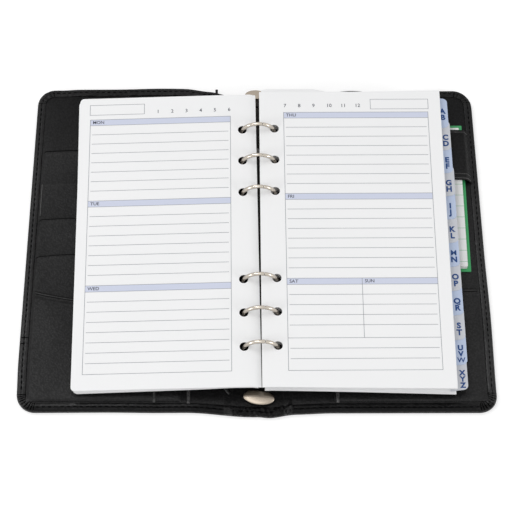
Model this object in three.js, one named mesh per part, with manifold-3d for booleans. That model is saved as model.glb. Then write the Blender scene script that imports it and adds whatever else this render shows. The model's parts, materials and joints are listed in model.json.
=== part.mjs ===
// A six-ring personal organizer, lying open on a table.
// Millimetres, +Z up. X runs across both covers, Y runs from the foot of the
// pages to their head. The origin is on the table, under the middle of the spine.

import * as THREE from 'three';
import { mergeVertices } from 'three/addons/utils/BufferGeometryUtils.js';
import Module from 'manifold-3d';

const wasm = await Module();
wasm.setup();

// Covers and spine
const COVER_HEIGHT = 189;        // head to foot of the leather
const COVER_PANEL_WIDTH = 103.8; // from a fold to the outer edge
const COVER_SHIFT = { x: -1.7, y: 2.3 }; // the cover's middle, from the middle of the rings
const SPINE_WIDTH = 29.6;        // between the two folds
const FOLD_GAP = 0.4;            // between a cover panel and the spine
const COVER_CORNER = 9.5;        // radius of the outer corners
const SKIN = 1.0;                // outer leather
const BOARD = 1.2;               // stiffening board
const LINING = 1.0;              // inner leather
const HEM_WIDTH = 4.5;           // leather turned over along the edges
const HEM_RISE = 0.2;            // the hem stands this much above the lining
const RIM_ROUND = 0.8;           // rounding of the outer rim
const EDGE_WALL = 1.2;           // leather round the edge of the board
const BOARD_SETBACK = 4;         // the board stops this far from a fold
const SPINE_TAIL_BULGE = 2.0;    // the foot of the spine sags outwards
const SEAM_TAB = { width: 1.2, length: 1.2, fromFold: 5.5 };

// Pockets on the linings
const POCKET_SHEET = 0.8;        // leather of a pocket
const CARD_SLIT = 0.6;           // room for a card under it
const POCKET_FOOT = 2.2;         // stitched strip along a pocket's edge
const CARD_POCKET_WIDTH = 61;    // takes a card standing upright
const CARD_POCKET_PITCH = 20.9;
const CARD_POCKET_COUNT = 4;
const FIRST_LIP_INSET = 33.6;    // from the lining's head edge to the top card pocket's mouth
const LIP_RISE = 0.9;            // the mouth stands above the tail of the pocket before it
const LIP_OVERLAP = 2.0;
const LOWER_POCKET_HEIGHT = 62;   // from the lining's foot edge to the mouth
const LOWER_POCKET_SWEEP = 4.0;  // how far the curved mouth dips
const LOWER_POCKET_INNER = 38;   // its inner edge, from the middle of the spine

// Notepad under its leather band, on the back cover
const PAD_WIDTH = 66;
const PAD_HEIGHT = 88.6;
const PAD_CARD = 0.6;
const PAD_SHEETS = 2.2;
const PAD_BORDER = 1.8;          // card showing round the sheets
const PAD_RIGHT_INSET = 3.0;     // from the hem to the pad
const PAD_HEAD_INSET = 19.0;     // from the lining's head edge
const BAND_HEIGHT = 30.9;
const BAND_HEAD_INSET = 24.5;
const BAND_FOOT_WIDTH = 3.4;
const BAND_OUTER_SHOULDER = 1 / 3; // share of the foot's width where the outer end meets the top
const BAND_INNER_SHOULDER = 2 / 3;
const BAND_CLEARANCE = 0.3;

// Rings and their mechanism
const RING_RADIUS = 8.8;         // centre line of the wire
const WIRE_RADIUS = 1.0;
const RING_CENTRE_Z = 13.6;
const RING_PITCH = 19;
const RING_GROUP_OFFSET = 44.5;  // from the middle of the page to the middle ring of three
const RINGS_IN_GROUP = 3;
const JOINT_SHIFT = 2.0;         // the tips meet this far right of the middle
const JOINT_GAP = 0.3;
const CASING_LENGTH = 165;
const CASING_WIDTH = 14.4;
const CASING_WALL = 0.6;
const CASING_SIDE = 3.0;         // height of the straight side walls
const CASING_CROWN = 1.4;        // rise of the arched top above them
const CARRIER_WIDTH = 5.9;
const CARRIER_SHEET = 0.8;
const CARRIER_LENGTH = 153;
const CARRIER_PIVOT_Z = 1.8;     // above the lining
const CARRIER_TILT = 5;          // degrees, inner edges down when the rings are shut
const CARRIER_CLEARANCE = 0.5;   // to the casing wall
const WIRE_FOOT_INSET = 1.2;     // from a carrier's pivot edge to the wire standing on it
const WIRE_FOOT_GAP = 0.02;      // between the wire's cut end and the carrier
const WIRE_LEG_ANGLE = -45;      // degrees, where the round arc ends
const WIRE_LEG_BEND = 1.1;       // length of the bend from the arc to the leg
const WIRE_SLOT_CLEARANCE = 0.5;
const RIVET_OFFSET = 55;
const RIVET_HEAD_RADIUS = 2.4;
const RIVET_HEAD_HEIGHT = 0.7;
const RIVET_SHANK_RADIUS = 1.2;
const RIVET_CLEARANCE = 0.2;
const RIVET_CROWN = { radius: 0.8, height: 0.7 }; // shoulder of the head, as shares of its size
const LEVER_TAB_WIDTH = 15.8;
const LEVER_TAB_LENGTH = 7.9;
const LEVER_TAB_ROOT = 1;        // straight part before the half-moon
const LEVER_SHEET = 0.8;
const LEVER_GAP = 0.8;           // from the casing's end to the tab
const LEVER_NECK_WIDTH = 7;
const LEVER_PIN_RADIUS = 0.5;
const LEVER_PIN_INSET = 1.7;     // inside the casing's end
const LEVER_TAIL = 2.4;          // beyond the pin
const LEVER_HEIGHT = 1.6;        // underside above the lining
const LEVER_EAR = { width: 1.6, depth: 0.8, rise: 0.8 };

// Pages
const PAGE_WIDTH = 95;
const PAGE_HEIGHT = 171;
const GUTTER = 1.8;              // between the two open pages
const PAGE_CORNER = 3;
const HOLE_RADIUS = 2.9;
const HOLE_INSET = 8.1;          // page edge to hole centre
const LEAF = 0.3;
const LEAF_GAP = 0.1;
const TURNING_GAP = 0.3;         // under the leaf that turns by itself
const LEFT_STACK = 3.5;
const LEFT_TOP_Z = 17.0;
const LEFT_SLOPE = 2.7;          // degrees, outer edge down
const RIGHT_STACK = 2.1;
const RIGHT_TOP_Z = 17.6;
const DIVIDER_SHEET = 0.2;
const DIVIDER_PITCH = 0.225;
const DIVIDER_LABELS = ['ab', 'cd', 'ef', 'gh', 'ij', 'kl', 'mn', 'op', 'qr', 'st', 'uvw', 'xyz'];
const TAB_REACH = 7;
const TAB_HEIGHT = 18.4;
const FIRST_TAB_INSET = 2.1;     // from the page's head edge; the last tab ends at its foot edge
const TAB_SLANT = 1.6;
const REAR_STACK = 1.2;

// Clearances and counts shared by several pieces
const FIT = 0.15;                // sideways, between boards, linings, pockets and hems
const CUT = 1;                   // how far a cutting tool runs past what it cuts
const RING_SEGMENTS = 10;
const WIRE_SIDES = 8;
const HOLE_SIDES = 8;
const RIVET_SIDES = 12;
const CORNER_SEGMENTS = 6;       // in each rounded corner
const CURVE_SEGMENTS = 8;        // in a long shallow curve
const MOON_SEGMENTS = 12;
const BEVEL_SEGMENTS = 2;
const PIN_SIDES = 10;
const DEG = Math.PI / 180;

// Worked out from the sizes above
const HALF_SPINE = SPINE_WIDTH / 2;
const PANEL_INNER = HALF_SPINE + FOLD_GAP;
const COVER_EDGE = PANEL_INNER + COVER_PANEL_WIDTH;
const BOARD_TOP = SKIN + BOARD;
const LINING_TOP = BOARD_TOP + LINING;
const HEM_TOP = LINING_TOP + HEM_RISE;
const LINING_EDGE = COVER_EDGE - HEM_WIDTH;
const HALF_LINING_HEIGHT = COVER_HEIGHT / 2 - HEM_WIDTH;
const HALF_CASING = CASING_WIDTH / 2;
const CARRIER_PIVOT_X = HALF_CASING - CASING_WALL - CARRIER_CLEARANCE;
const HOLE_X = GUTTER / 2 + HOLE_INSET;
const POCKET_FLOOR = LINING_TOP + CARD_SLIT;
const FIRST_POCKET_LIP = HALF_LINING_HEIGHT - FIRST_LIP_INSET;
const LOWER_POCKET_MOUTH = LOWER_POCKET_HEIGHT - HALF_LINING_HEIGHT;
const PAD_HEAD_Y = HALF_LINING_HEIGHT - PAD_HEAD_INSET;
const BAND_HEAD_Y = HALF_LINING_HEIGHT - BAND_HEAD_INSET;
const CASING_TOP = LINING_TOP + CASING_SIDE + CASING_CROWN;
const SLAB_OVERRUN = 4 * RIM_ROUND; // a slab is drawn this far past a fold, then cut there

function finish(color, roughness, metalness) {
  return new THREE.MeshStandardMaterial({ color, roughness, metalness });
}

const leather = finish(0x232325, 0.5, 0);
const liningLeather = finish(0x2a2a2c, 0.55, 0);
const board = finish(0x8b7f6c, 0.9, 0);
const nickel = finish(0xc8bfb2, 0.25, 1);
const steel = finish(0x8c8c8c, 0.4, 1);
const paper = finish(0xeeeeee, 0.85, 0);
const padPaper = finish(0xf4f5f2, 0.85, 0);
const padCard = finish(0x3ca05a, 0.8, 0);
const blueTab = finish(0xb4c6e6, 0.7, 0);
const greyTab = finish(0xd2d6dc, 0.7, 0);

// Closed geometry to a solid for cutting and joining, and back again
function solid(geometry) {
  const plain = geometry.clone();
  plain.deleteAttribute('normal');
  plain.deleteAttribute('uv');
  const merged = mergeVertices(plain, 1e-4);
  return new wasm.Manifold(new wasm.Mesh({
    numProp: 3,
    vertProperties: new Float32Array(merged.attributes.position.array),
    triVerts: new Uint32Array(merged.index.array),
  }));
}

function geometryOf(manifold) {
  const mesh = manifold.getMesh();
  const geometry = new THREE.BufferGeometry();
  geometry.setAttribute('position', new THREE.BufferAttribute(new Float32Array(mesh.vertProperties), 3));
  geometry.setIndex(new THREE.BufferAttribute(new Uint32Array(mesh.triVerts), 1));
  geometry.computeVertexNormals();
  return geometry;
}

function box(x0, x1, y0, y1, z0, z1) {
  const geometry = new THREE.BoxGeometry(x1 - x0, y1 - y0, z1 - z0);
  return geometry.translate((x0 + x1) / 2, (y0 + y1) / 2, (z0 + z1) / 2);
}

function solidBox(x0, x1, y0, y1, z0, z1) {
  return solid(box(x0, x1, y0, y1, z0, z1));
}

// A flat sheet: an outline in the XY plane given a thickness upwards from z
function sheet(shape, z, thickness, curveSegments = CORNER_SEGMENTS) {
  const options = { depth: thickness, bevelEnabled: false, curveSegments };
  return new THREE.ExtrudeGeometry(shape, options).translate(0, 0, z);
}

// A section in the XZ plane drawn out along Y between two ends
function bar(shape, y0, y1, curveSegments = CORNER_SEGMENTS) {
  const options = { depth: y1 - y0, bevelEnabled: false, curveSegments };
  return new THREE.ExtrudeGeometry(shape, options).rotateX(Math.PI / 2).translate(0, y1, 0);
}

// A section in the YZ plane drawn out along X between two sides
function sideProfile(points, x0, x1) {
  const shape = new THREE.Shape(points.map(([y, z]) => new THREE.Vector2(y, z)));
  const geometry = new THREE.ExtrudeGeometry(shape, { depth: x1 - x0, bevelEnabled: false });
  return geometry.rotateZ(Math.PI / 2).rotateY(Math.PI / 2).translate(x0, 0, 0);
}

// A rectangle whose two corners on the right-hand side are rounded
function roundedOutline(x0, x1, y0, y1, radius) {
  const shape = new THREE.Shape();
  shape.moveTo(x0, y0);
  shape.lineTo(x1 - radius, y0);
  shape.absarc(x1 - radius, y0 + radius, radius, -Math.PI / 2, 0, false);
  shape.absarc(x1 - radius, y1 - radius, radius, 0, Math.PI / 2, false);
  shape.lineTo(x0, y1);
  shape.closePath();
  return shape;
}

function part(name, shape, material) {
  const geometry = shape instanceof THREE.BufferGeometry ? shape : geometryOf(shape);
  const mesh = new THREE.Mesh(geometry, material);
  mesh.name = name;
  return mesh;
}

// Cover panels are drawn on the right-hand side and mirrored for the front cover
function mirrored(manifold) {
  return manifold.mirror([1, 0, 0]);
}

// The spine's pieces are drawn about their own middle, then moved under the rings
function shifted(manifold) {
  return manifold.translate([COVER_SHIFT.x, COVER_SHIFT.y, 0]);
}

function roundedSlab(outline) {
  const inner = HEM_TOP - 2 * RIM_ROUND;
  const geometry = new THREE.ExtrudeGeometry(outline, {
    depth: inner,
    bevelEnabled: true,
    bevelThickness: RIM_ROUND,
    bevelSize: RIM_ROUND,
    bevelOffset: -RIM_ROUND,
    bevelSegments: BEVEL_SEGMENTS,
    curveSegments: CORNER_SEGMENTS,
  });
  return solid(geometry.translate(0, 0, RIM_ROUND));
}

// Outer leather of a cover: a slab with room for the board and an open middle for the lining
function coverSkin() {
  const start = PANEL_INNER - SLAB_OVERRUN;
  const half = COVER_HEIGHT / 2;
  const slab = roundedSlab(roundedOutline(start, COVER_EDGE, -half, half, COVER_CORNER));
  const foldCut = solidBox(
    start - CUT, PANEL_INNER, -half - CUT, half + CUT, -CUT, HEM_TOP + CUT,
  );
  const cavity = solid(sheet(boardOutline(0), SKIN, BOARD));
  const window = solid(sheet(liningOutline(0, start), BOARD_TOP, LINING + CUT));
  return slab.subtract(foldCut).subtract(cavity).subtract(window);
}

function boardOutline(shrink) {
  const half = COVER_HEIGHT / 2 - EDGE_WALL - shrink;
  const corner = COVER_CORNER - EDGE_WALL;
  const inner = PANEL_INNER + BOARD_SETBACK + shrink;
  const outer = COVER_EDGE - EDGE_WALL - shrink;
  return roundedOutline(inner, outer, -half, half, corner);
}

function liningOutline(shrink, innerEdge) {
  const half = HALF_LINING_HEIGHT - shrink;
  return roundedOutline(innerEdge, LINING_EDGE - shrink, -half, half, COVER_CORNER - HEM_WIDTH);
}

function spineSkin() {
  const wide = new THREE.Shape();
  const x = HALF_SPINE + SLAB_OVERRUN;
  const y = COVER_HEIGHT / 2;
  wide.moveTo(-x, -y);
  wide.lineTo(-HALF_SPINE, -y);
  wide.quadraticCurveTo(0, -y - 2 * SPINE_TAIL_BULGE, HALF_SPINE, -y);
  wide.lineTo(x, -y);
  wide.lineTo(x, y);
  wide.lineTo(-x, y);
  const slab = roundedSlab(wide);
  const width = solidBox(-HALF_SPINE, HALF_SPINE, -COVER_HEIGHT, COVER_HEIGHT, -CUT, HEM_TOP + CUT);
  const cavity = solidBox(
    -HALF_SPINE + BOARD_SETBACK, HALF_SPINE - BOARD_SETBACK,
    -COVER_HEIGHT / 2 + EDGE_WALL, COVER_HEIGHT / 2 - EDGE_WALL, SKIN, BOARD_TOP,
  );
  const window = solidBox(
    -HALF_SPINE - CUT, HALF_SPINE + CUT, -HALF_LINING_HEIGHT, HALF_LINING_HEIGHT,
    BOARD_TOP, HEM_TOP + CUT,
  );
  return slab.intersect(width).subtract(cavity).subtract(window);
}

function rivetHoles(z0, z1) {
  const hole = new THREE.CylinderGeometry(
    RIVET_SHANK_RADIUS + RIVET_CLEARANCE, RIVET_SHANK_RADIUS + RIVET_CLEARANCE, z1 - z0, RIVET_SIDES,
  ).rotateX(Math.PI / 2);
  const head = solid(hole.clone().translate(0, RIVET_OFFSET, (z0 + z1) / 2));
  const foot = solid(hole.clone().translate(0, -RIVET_OFFSET, (z0 + z1) / 2));
  return head.add(foot);
}

function spineParts() {
  const x = HALF_SPINE - BOARD_SETBACK - FIT;
  const y = COVER_HEIGHT / 2 - EDGE_WALL - FIT;
  const boardSlab = solidBox(-x, x, -y, y, SKIN, BOARD_TOP);
  const liningHalf = HALF_LINING_HEIGHT - FIT;
  const liningSlab = solidBox(-HALF_SPINE, HALF_SPINE, -liningHalf, liningHalf, BOARD_TOP, LINING_TOP);
  const drill = rivetHoles(SKIN + BOARD / 2, LINING_TOP + CUT);
  return [
    part('spine_skin', shifted(spineSkin()), leather),
    part('spine_board', shifted(boardSlab).subtract(drill), board),
    part('spine_lining', shifted(liningSlab).subtract(drill), liningLeather),
  ];
}

// The foot of a card pocket, under the mouth of the pocket below it
function pocketTail(index) {
  const last = index === CARD_POCKET_COUNT - 1;
  const nextMouth = FIRST_POCKET_LIP - (index + 1) * CARD_POCKET_PITCH;
  return (last ? LOWER_POCKET_MOUTH - LOWER_POCKET_SWEEP : nextMouth) - LIP_OVERLAP;
}

// A pocket's leather bridges the slit and is stitched down along its feet
function cardPocket(index) {
  const lip = FIRST_POCKET_LIP - index * CARD_POCKET_PITCH;
  const tail = pocketTail(index);
  const low = POCKET_FLOOR;
  const high = POCKET_FLOOR + POCKET_SHEET + LIP_RISE;
  const outer = -LINING_EDGE + FIT;
  const inner = outer + CARD_POCKET_WIDTH;
  const bend = lip - CARD_POCKET_PITCH;
  const top = [[lip, high], [bend, low + POCKET_SHEET], [tail, low + POCKET_SHEET]];
  const plate = [[tail, low], [bend, low], [lip, high - POCKET_SHEET], ...top];
  const foot = [[tail, LINING_TOP], [lip, LINING_TOP], ...top];
  const middle = solid(sideProfile(plate, outer + FIT, inner - FIT));
  const left = solid(sideProfile(foot, outer, outer + POCKET_FOOT));
  const right = solid(sideProfile(foot, inner - POCKET_FOOT, inner));
  const body = middle.add(left).add(right);
  return index === 0 ? body : body.subtract(pocketShadow(index));
}

// Room for the tail of the pocket above, which tucks in under this pocket's mouth
function pocketShadow(index) {
  const lip = FIRST_POCKET_LIP - index * CARD_POCKET_PITCH;
  const outer = -LINING_EDGE + FIT;
  const inner = outer + CARD_POCKET_WIDTH;
  const reach = LIP_OVERLAP + 2 * FIT;
  return solidBox(
    outer - CUT, inner + CUT, lip - reach, lip + CUT,
    LINING_TOP - CUT, POCKET_FLOOR + POCKET_SHEET + FIT,
  );
}

// A wide pocket whose leather bridges a room of its own height over the lining
function lowerPocket(inner, outer, sweep, room) {
  const foot = -HALF_LINING_HEIGHT + FIT;
  const corner = COVER_CORNER - HEM_WIDTH;
  const mouth = LOWER_POCKET_MOUTH;
  const shape = new THREE.Shape();
  shape.moveTo(inner, foot);
  shape.lineTo(outer - corner, foot);
  shape.absarc(outer - corner, foot + corner, corner, -Math.PI / 2, 0, false);
  shape.lineTo(outer, mouth);
  shape.quadraticCurveTo((inner + outer) / 2, mouth - 2 * sweep, inner, mouth);
  shape.closePath();
  const block = solid(sheet(shape, LINING_TOP, room + POCKET_SHEET, CURVE_SEGMENTS));
  const slit = solidBox(
    inner + POCKET_FOOT, outer - POCKET_FOOT, foot + POCKET_FOOT, mouth + CUT,
    LINING_TOP - CUT, LINING_TOP + room,
  );
  return block.subtract(slit);
}

function coverParts() {
  const outer = LINING_EDGE - FIT;
  const skin = coverSkin();
  const boardSlab = solid(sheet(boardOutline(FIT), SKIN, BOARD));
  const liningSlab = solid(sheet(liningOutline(FIT, PANEL_INNER), BOARD_TOP, LINING));
  const tabCentre = PANEL_INNER + SEAM_TAB.fromFold;
  const tab = solidBox(
    tabCentre - SEAM_TAB.width / 2, tabCentre + SEAM_TAB.width / 2,
    COVER_HEIGHT / 2 - HEM_WIDTH / 2, COVER_HEIGHT / 2 + SEAM_TAB.length, BOARD_TOP, HEM_TOP,
  );
  const frontRoom = CARD_SLIT + POCKET_SHEET + FIT;
  const frontLower = mirrored(lowerPocket(LOWER_POCKET_INNER, outer, LOWER_POCKET_SWEEP, frontRoom))
    .subtract(solidBox(
      -COVER_EDGE, -LINING_EDGE + CARD_POCKET_WIDTH + CUT,
      pocketTail(CARD_POCKET_COUNT - 1) - FIT, LOWER_POCKET_MOUTH + CUT,
      LINING_TOP - CUT, LINING_TOP + frontRoom,
    ));
  const parts = [
    part('front_skin', mirrored(skin.add(tab)), leather),
    part('front_board', mirrored(boardSlab), board),
    part('front_lining', mirrored(liningSlab), liningLeather),
    part('front_lower_pocket', frontLower, liningLeather),
    part('back_skin', skin, leather),
    part('back_board', boardSlab, board),
    part('back_lining', liningSlab, liningLeather),
    part('back_lower_pocket', lowerPocket(LOWER_POCKET_INNER, outer, 0, CARD_SLIT), liningLeather),
  ];
  for (let index = 0; index < CARD_POCKET_COUNT; index += 1) {
    parts.push(part(`front_card_pocket_${index + 1}`, cardPocket(index), liningLeather));
  }
  return parts;
}

function notepadParts() {
  const right = LINING_EDGE - PAD_RIGHT_INSET;
  const left = right - PAD_WIDTH;
  const head = PAD_HEAD_Y;
  const foot = head - PAD_HEIGHT;
  const cardTop = LINING_TOP + PAD_CARD;
  const card = box(left, right, foot, head, LINING_TOP, cardTop);
  const sheets = box(
    left + PAD_BORDER, right - PAD_BORDER, foot + PAD_BORDER, head - PAD_BORDER,
    cardTop, cardTop + PAD_SHEETS,
  );
  const bandUnder = cardTop + PAD_SHEETS + BAND_CLEARANCE;
  const bandTop = bandUnder + POCKET_SHEET;
  const innerFoot = left - BAND_CLEARANCE - BAND_FOOT_WIDTH;
  const outerFoot = right + BAND_CLEARANCE;
  const outerEnd = LINING_EDGE - FIT;
  const shape = new THREE.Shape();
  shape.moveTo(innerFoot, LINING_TOP);
  shape.lineTo(innerFoot + BAND_FOOT_WIDTH, LINING_TOP);
  shape.lineTo(innerFoot + BAND_FOOT_WIDTH, bandUnder);
  shape.lineTo(outerFoot, bandUnder);
  shape.lineTo(outerFoot, LINING_TOP);
  shape.lineTo(outerEnd, LINING_TOP);
  shape.lineTo(outerEnd, LINING_TOP + POCKET_SHEET);
  shape.lineTo(outerFoot + (outerEnd - outerFoot) * BAND_OUTER_SHOULDER, bandTop);
  shape.lineTo(innerFoot + BAND_FOOT_WIDTH * BAND_INNER_SHOULDER, bandTop);
  shape.lineTo(innerFoot, LINING_TOP + POCKET_SHEET);
  shape.closePath();
  return [
    part('pad_card', card, padCard),
    part('pad_sheets', sheets, padPaper),
    part('pad_band', bar(shape, BAND_HEAD_Y - BAND_HEIGHT, BAND_HEAD_Y), liningLeather),
  ];
}

function ringPositions() {
  const positions = [];
  for (const centre of [RING_GROUP_OFFSET, -RING_GROUP_OFFSET]) {
    for (let index = 0; index < RINGS_IN_GROUP; index += 1) {
      positions.push(centre + (((RINGS_IN_GROUP - 1) / 2) - index) * RING_PITCH);
    }
  }
  return positions;
}

const carrierTilt = CARRIER_TILT * DEG;
const carrierPivotZ = LINING_TOP + CARRIER_PIVOT_Z;
const wireFootX = CARRIER_PIVOT_X - WIRE_FOOT_INSET;

// Centre line of one half ring: a round arc, then a short leg down to its carrier
function halfRingPath(tipX) {
  const points = [];
  const start = Math.acos(tipX / RING_RADIUS);
  const end = WIRE_LEG_ANGLE * DEG;
  for (let step = 0; step <= RING_SEGMENTS; step += 1) {
    const angle = start + (end - start) * step / RING_SEGMENTS;
    points.push(new THREE.Vector3(
      RING_RADIUS * Math.cos(angle), 0, RING_CENTRE_Z + RING_RADIUS * Math.sin(angle),
    ));
  }
  const last = points[points.length - 1];
  points.push(new THREE.Vector3((last.x + 2 * wireFootX) / 3, 0, last.z - WIRE_LEG_BEND));
  points.push(new THREE.Vector3(wireFootX, 0, carrierPivotZ + CARRIER_SHEET));
  points.push(new THREE.Vector3(wireFootX, 0, carrierPivotZ - CARRIER_SHEET));
  return new THREE.CatmullRomCurve3(points, false, 'centripetal');
}

// Carrier plates are drawn on the right, about their pivot edge, then placed
function carrierPlate(y0, y1, thickness, lift) {
  return new THREE.BoxGeometry(CARRIER_WIDTH, y1 - y0, thickness)
    .translate(-CARRIER_WIDTH / 2, (y0 + y1) / 2, lift)
    .rotateY(-carrierTilt)
    .translate(CARRIER_PIVOT_X, 0, carrierPivotZ);
}

function halfRing(tipX) {
  const section = new THREE.Shape().absarc(0, 0, WIRE_RADIUS, 0, 2 * Math.PI, false);
  const path = halfRingPath(tipX);
  const wire = solid(new THREE.ExtrudeGeometry(section, {
    steps: RING_SEGMENTS + 4,
    bevelEnabled: false,
    curveSegments: WIRE_SIDES / 2,
    extrudePath: path,
  }));
  const depth = 6 * WIRE_RADIUS;
  const cutLevel = CARRIER_SHEET / 2 + WIRE_FOOT_GAP - depth / 2;
  const under = solid(carrierPlate(-depth, depth, depth, cutLevel));
  return wire.subtract(under);
}

function ringParts() {
  const parts = [];
  const half = CARRIER_LENGTH / 2;
  const rivetRoom = new THREE.CylinderGeometry(
    RIVET_HEAD_RADIUS, RIVET_HEAD_RADIUS, 2 * LINING_TOP, RIVET_SIDES,
  ).rotateX(Math.PI / 2);
  let carrier = solid(carrierPlate(-half, half, CARRIER_SHEET, 0));
  for (const y of [RIVET_OFFSET, -RIVET_OFFSET]) {
    carrier = carrier.subtract(solid(rivetRoom.clone().translate(0, y, carrierPivotZ)));
  }
  parts.push(part('left_carrier', mirrored(carrier), steel));
  parts.push(part('right_carrier', carrier, steel));
  const rightHalf = halfRing(JOINT_SHIFT + JOINT_GAP / 2);
  const leftHalf = mirrored(halfRing(-JOINT_SHIFT + JOINT_GAP / 2));
  ringPositions().forEach((y, index) => {
    for (const [side, shape] of [['left', leftHalf], ['right', rightHalf]]) {
      const ring = part(`${side}_ring_${index + 1}`, shape, nickel);
      ring.position.set(0, y, 0);
      parts.push(ring);
    }
  });
  return parts;
}

// Arched top of the casing between two side walls, outside or inside the metal
function casingSection(inset, floor) {
  const x = HALF_CASING - inset;
  const shoulder = LINING_TOP + CASING_SIDE - inset / 2;
  const crown = CASING_TOP - inset;
  const shape = new THREE.Shape();
  shape.moveTo(-x, floor);
  shape.lineTo(x, floor);
  shape.lineTo(x, shoulder);
  shape.quadraticCurveTo(0, 2 * crown - shoulder, -x, shoulder);
  shape.closePath();
  return shape;
}

function casing() {
  const half = CASING_LENGTH / 2;
  const hollow = casingSection(CASING_WALL, LINING_TOP - CUT);
  let body = solid(bar(casingSection(0, LINING_TOP), -half, half, CURVE_SEGMENTS));
  body = body.subtract(solid(bar(hollow, -half - CUT, half + CUT, CURVE_SEGMENTS)));
  const slotHalf = WIRE_RADIUS + WIRE_SLOT_CLEARANCE;
  const slotInner = wireFootX - WIRE_RADIUS - WIRE_SLOT_CLEARANCE;
  for (const y of ringPositions()) {
    for (const side of [-1, 1]) {
      const near = side * slotInner;
      const far = side * (HALF_CASING + CUT);
      body = body.subtract(solidBox(
        Math.min(near, far), Math.max(near, far), y - slotHalf, y + slotHalf,
        LINING_TOP + CASING_SIDE / 2, CASING_TOP + CUT,
      ));
    }
  }
  return body.subtract(rivetHoles(LINING_TOP, CASING_TOP + CUT));
}

function rivet() {
  const bottom = SKIN + BOARD / 2;
  const profile = [
    [0, bottom],
    [RIVET_SHANK_RADIUS, bottom],
    [RIVET_SHANK_RADIUS, CASING_TOP],
    [RIVET_HEAD_RADIUS, CASING_TOP],
    [RIVET_HEAD_RADIUS * RIVET_CROWN.radius, CASING_TOP + RIVET_HEAD_HEIGHT * RIVET_CROWN.height],
    [0, CASING_TOP + RIVET_HEAD_HEIGHT],
  ].map(([radius, height]) => new THREE.Vector2(radius, height));
  return new THREE.LatheGeometry(profile, RIVET_SIDES).rotateX(Math.PI / 2);
}

// The lever at the head end: a half-moon tab, a neck into the casing and a pin across it
function lever() {
  const end = CASING_LENGTH / 2;
  const pinY = end - LEVER_PIN_INSET;
  const tabRoot = end + LEVER_GAP;
  const under = LINING_TOP + LEVER_HEIGHT;
  const moon = new THREE.Shape();
  const moonY = tabRoot + LEVER_TAB_ROOT;
  moon.moveTo(-LEVER_TAB_WIDTH / 2, tabRoot);
  moon.lineTo(LEVER_TAB_WIDTH / 2, tabRoot);
  moon.lineTo(LEVER_TAB_WIDTH / 2, moonY);
  moon.absellipse(0, moonY, LEVER_TAB_WIDTH / 2, LEVER_TAB_LENGTH - LEVER_TAB_ROOT, 0, Math.PI, false);
  moon.closePath();
  const tab = solid(sheet(moon, under, LEVER_SHEET, MOON_SEGMENTS));
  const neck = solidBox(
    -LEVER_NECK_WIDTH / 2, LEVER_NECK_WIDTH / 2, pinY - LEVER_TAIL, moonY, under, under + LEVER_SHEET,
  );
  const pinHalf = HALF_CASING - CASING_WALL - 2 * FIT;
  const pin = solid(new THREE.CylinderGeometry(LEVER_PIN_RADIUS, LEVER_PIN_RADIUS, 2 * pinHalf, PIN_SIDES)
    .rotateZ(Math.PI / 2).translate(0, pinY, under + LEVER_SHEET / 2));
  let body = tab.add(neck).add(pin);
  for (const side of [-1, 1]) {
    const centre = side * (LEVER_TAB_WIDTH - LEVER_EAR.width) / 2;
    body = body.add(solidBox(
      centre - LEVER_EAR.width / 2, centre + LEVER_EAR.width / 2, tabRoot, tabRoot + LEVER_EAR.depth,
      under, under + LEVER_SHEET + LEVER_EAR.rise,
    ));
  }
  return body;
}

function mechanismParts() {
  const rivetGeometry = rivet();
  const headRivet = part('head_rivet', rivetGeometry, steel);
  const footRivet = part('foot_rivet', rivetGeometry, steel);
  headRivet.position.y = RIVET_OFFSET;
  footRivet.position.y = -RIVET_OFFSET;
  const headLever = lever();
  return [
    part('ring_casing', casing(), nickel),
    headRivet,
    footRivet,
    part('head_lever', headLever, nickel),
    part('foot_lever', headLever.mirror([0, 1, 0]), nickel),
  ];
}

// Page outline on the right-hand side, with its inner edge at the gutter
function pageOutline(corner, tab) {
  const x0 = GUTTER / 2;
  const x1 = x0 + PAGE_WIDTH;
  const half = PAGE_HEIGHT / 2;
  const shape = new THREE.Shape();
  shape.moveTo(x0, -half);
  shape.lineTo(x1 - corner, -half);
  if (corner > 0) shape.absarc(x1 - corner, -half + corner, corner, -Math.PI / 2, 0, false);
  if (tab) {
    shape.lineTo(x1, tab.low);
    shape.lineTo(x1 + TAB_REACH - TAB_SLANT, tab.low);
    shape.lineTo(x1 + TAB_REACH, tab.low + TAB_SLANT);
    shape.lineTo(x1 + TAB_REACH, tab.high - TAB_SLANT);
    shape.lineTo(x1 + TAB_REACH - TAB_SLANT, tab.high);
    shape.lineTo(x1, tab.high);
  }
  if (corner > 0) {
    shape.lineTo(x1, half - corner);
    shape.absarc(x1 - corner, half - corner, corner, 0, Math.PI / 2, false);
  } else if (!tab || tab.high < half) {
    shape.lineTo(x1, half);
  }
  shape.lineTo(x0, half);
  shape.closePath();
  for (const y of ringPositions()) {
    shape.holes.push(new THREE.Path().absarc(HOLE_X, y, HOLE_RADIUS, 0, 2 * Math.PI, true));
  }
  return shape;
}

function pages(outline, top, thickness) {
  return sheet(outline, top - thickness, thickness, HOLE_SIDES / 2);
}

function leftPages() {
  const group = new THREE.Group();
  const outline = pageOutline(PAGE_CORNER);
  const leaf = mirrored(solid(pages(outline, 0, LEAF)));
  const stack = mirrored(solid(pages(outline, -LEAF - LEAF_GAP, LEFT_STACK)));
  group.add(part('left_top_leaf', leaf, paper), part('left_leaves', stack, paper));
  group.position.z = LEFT_TOP_Z;
  group.rotation.y = -LEFT_SLOPE * DEG;
  return group;
}

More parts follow.
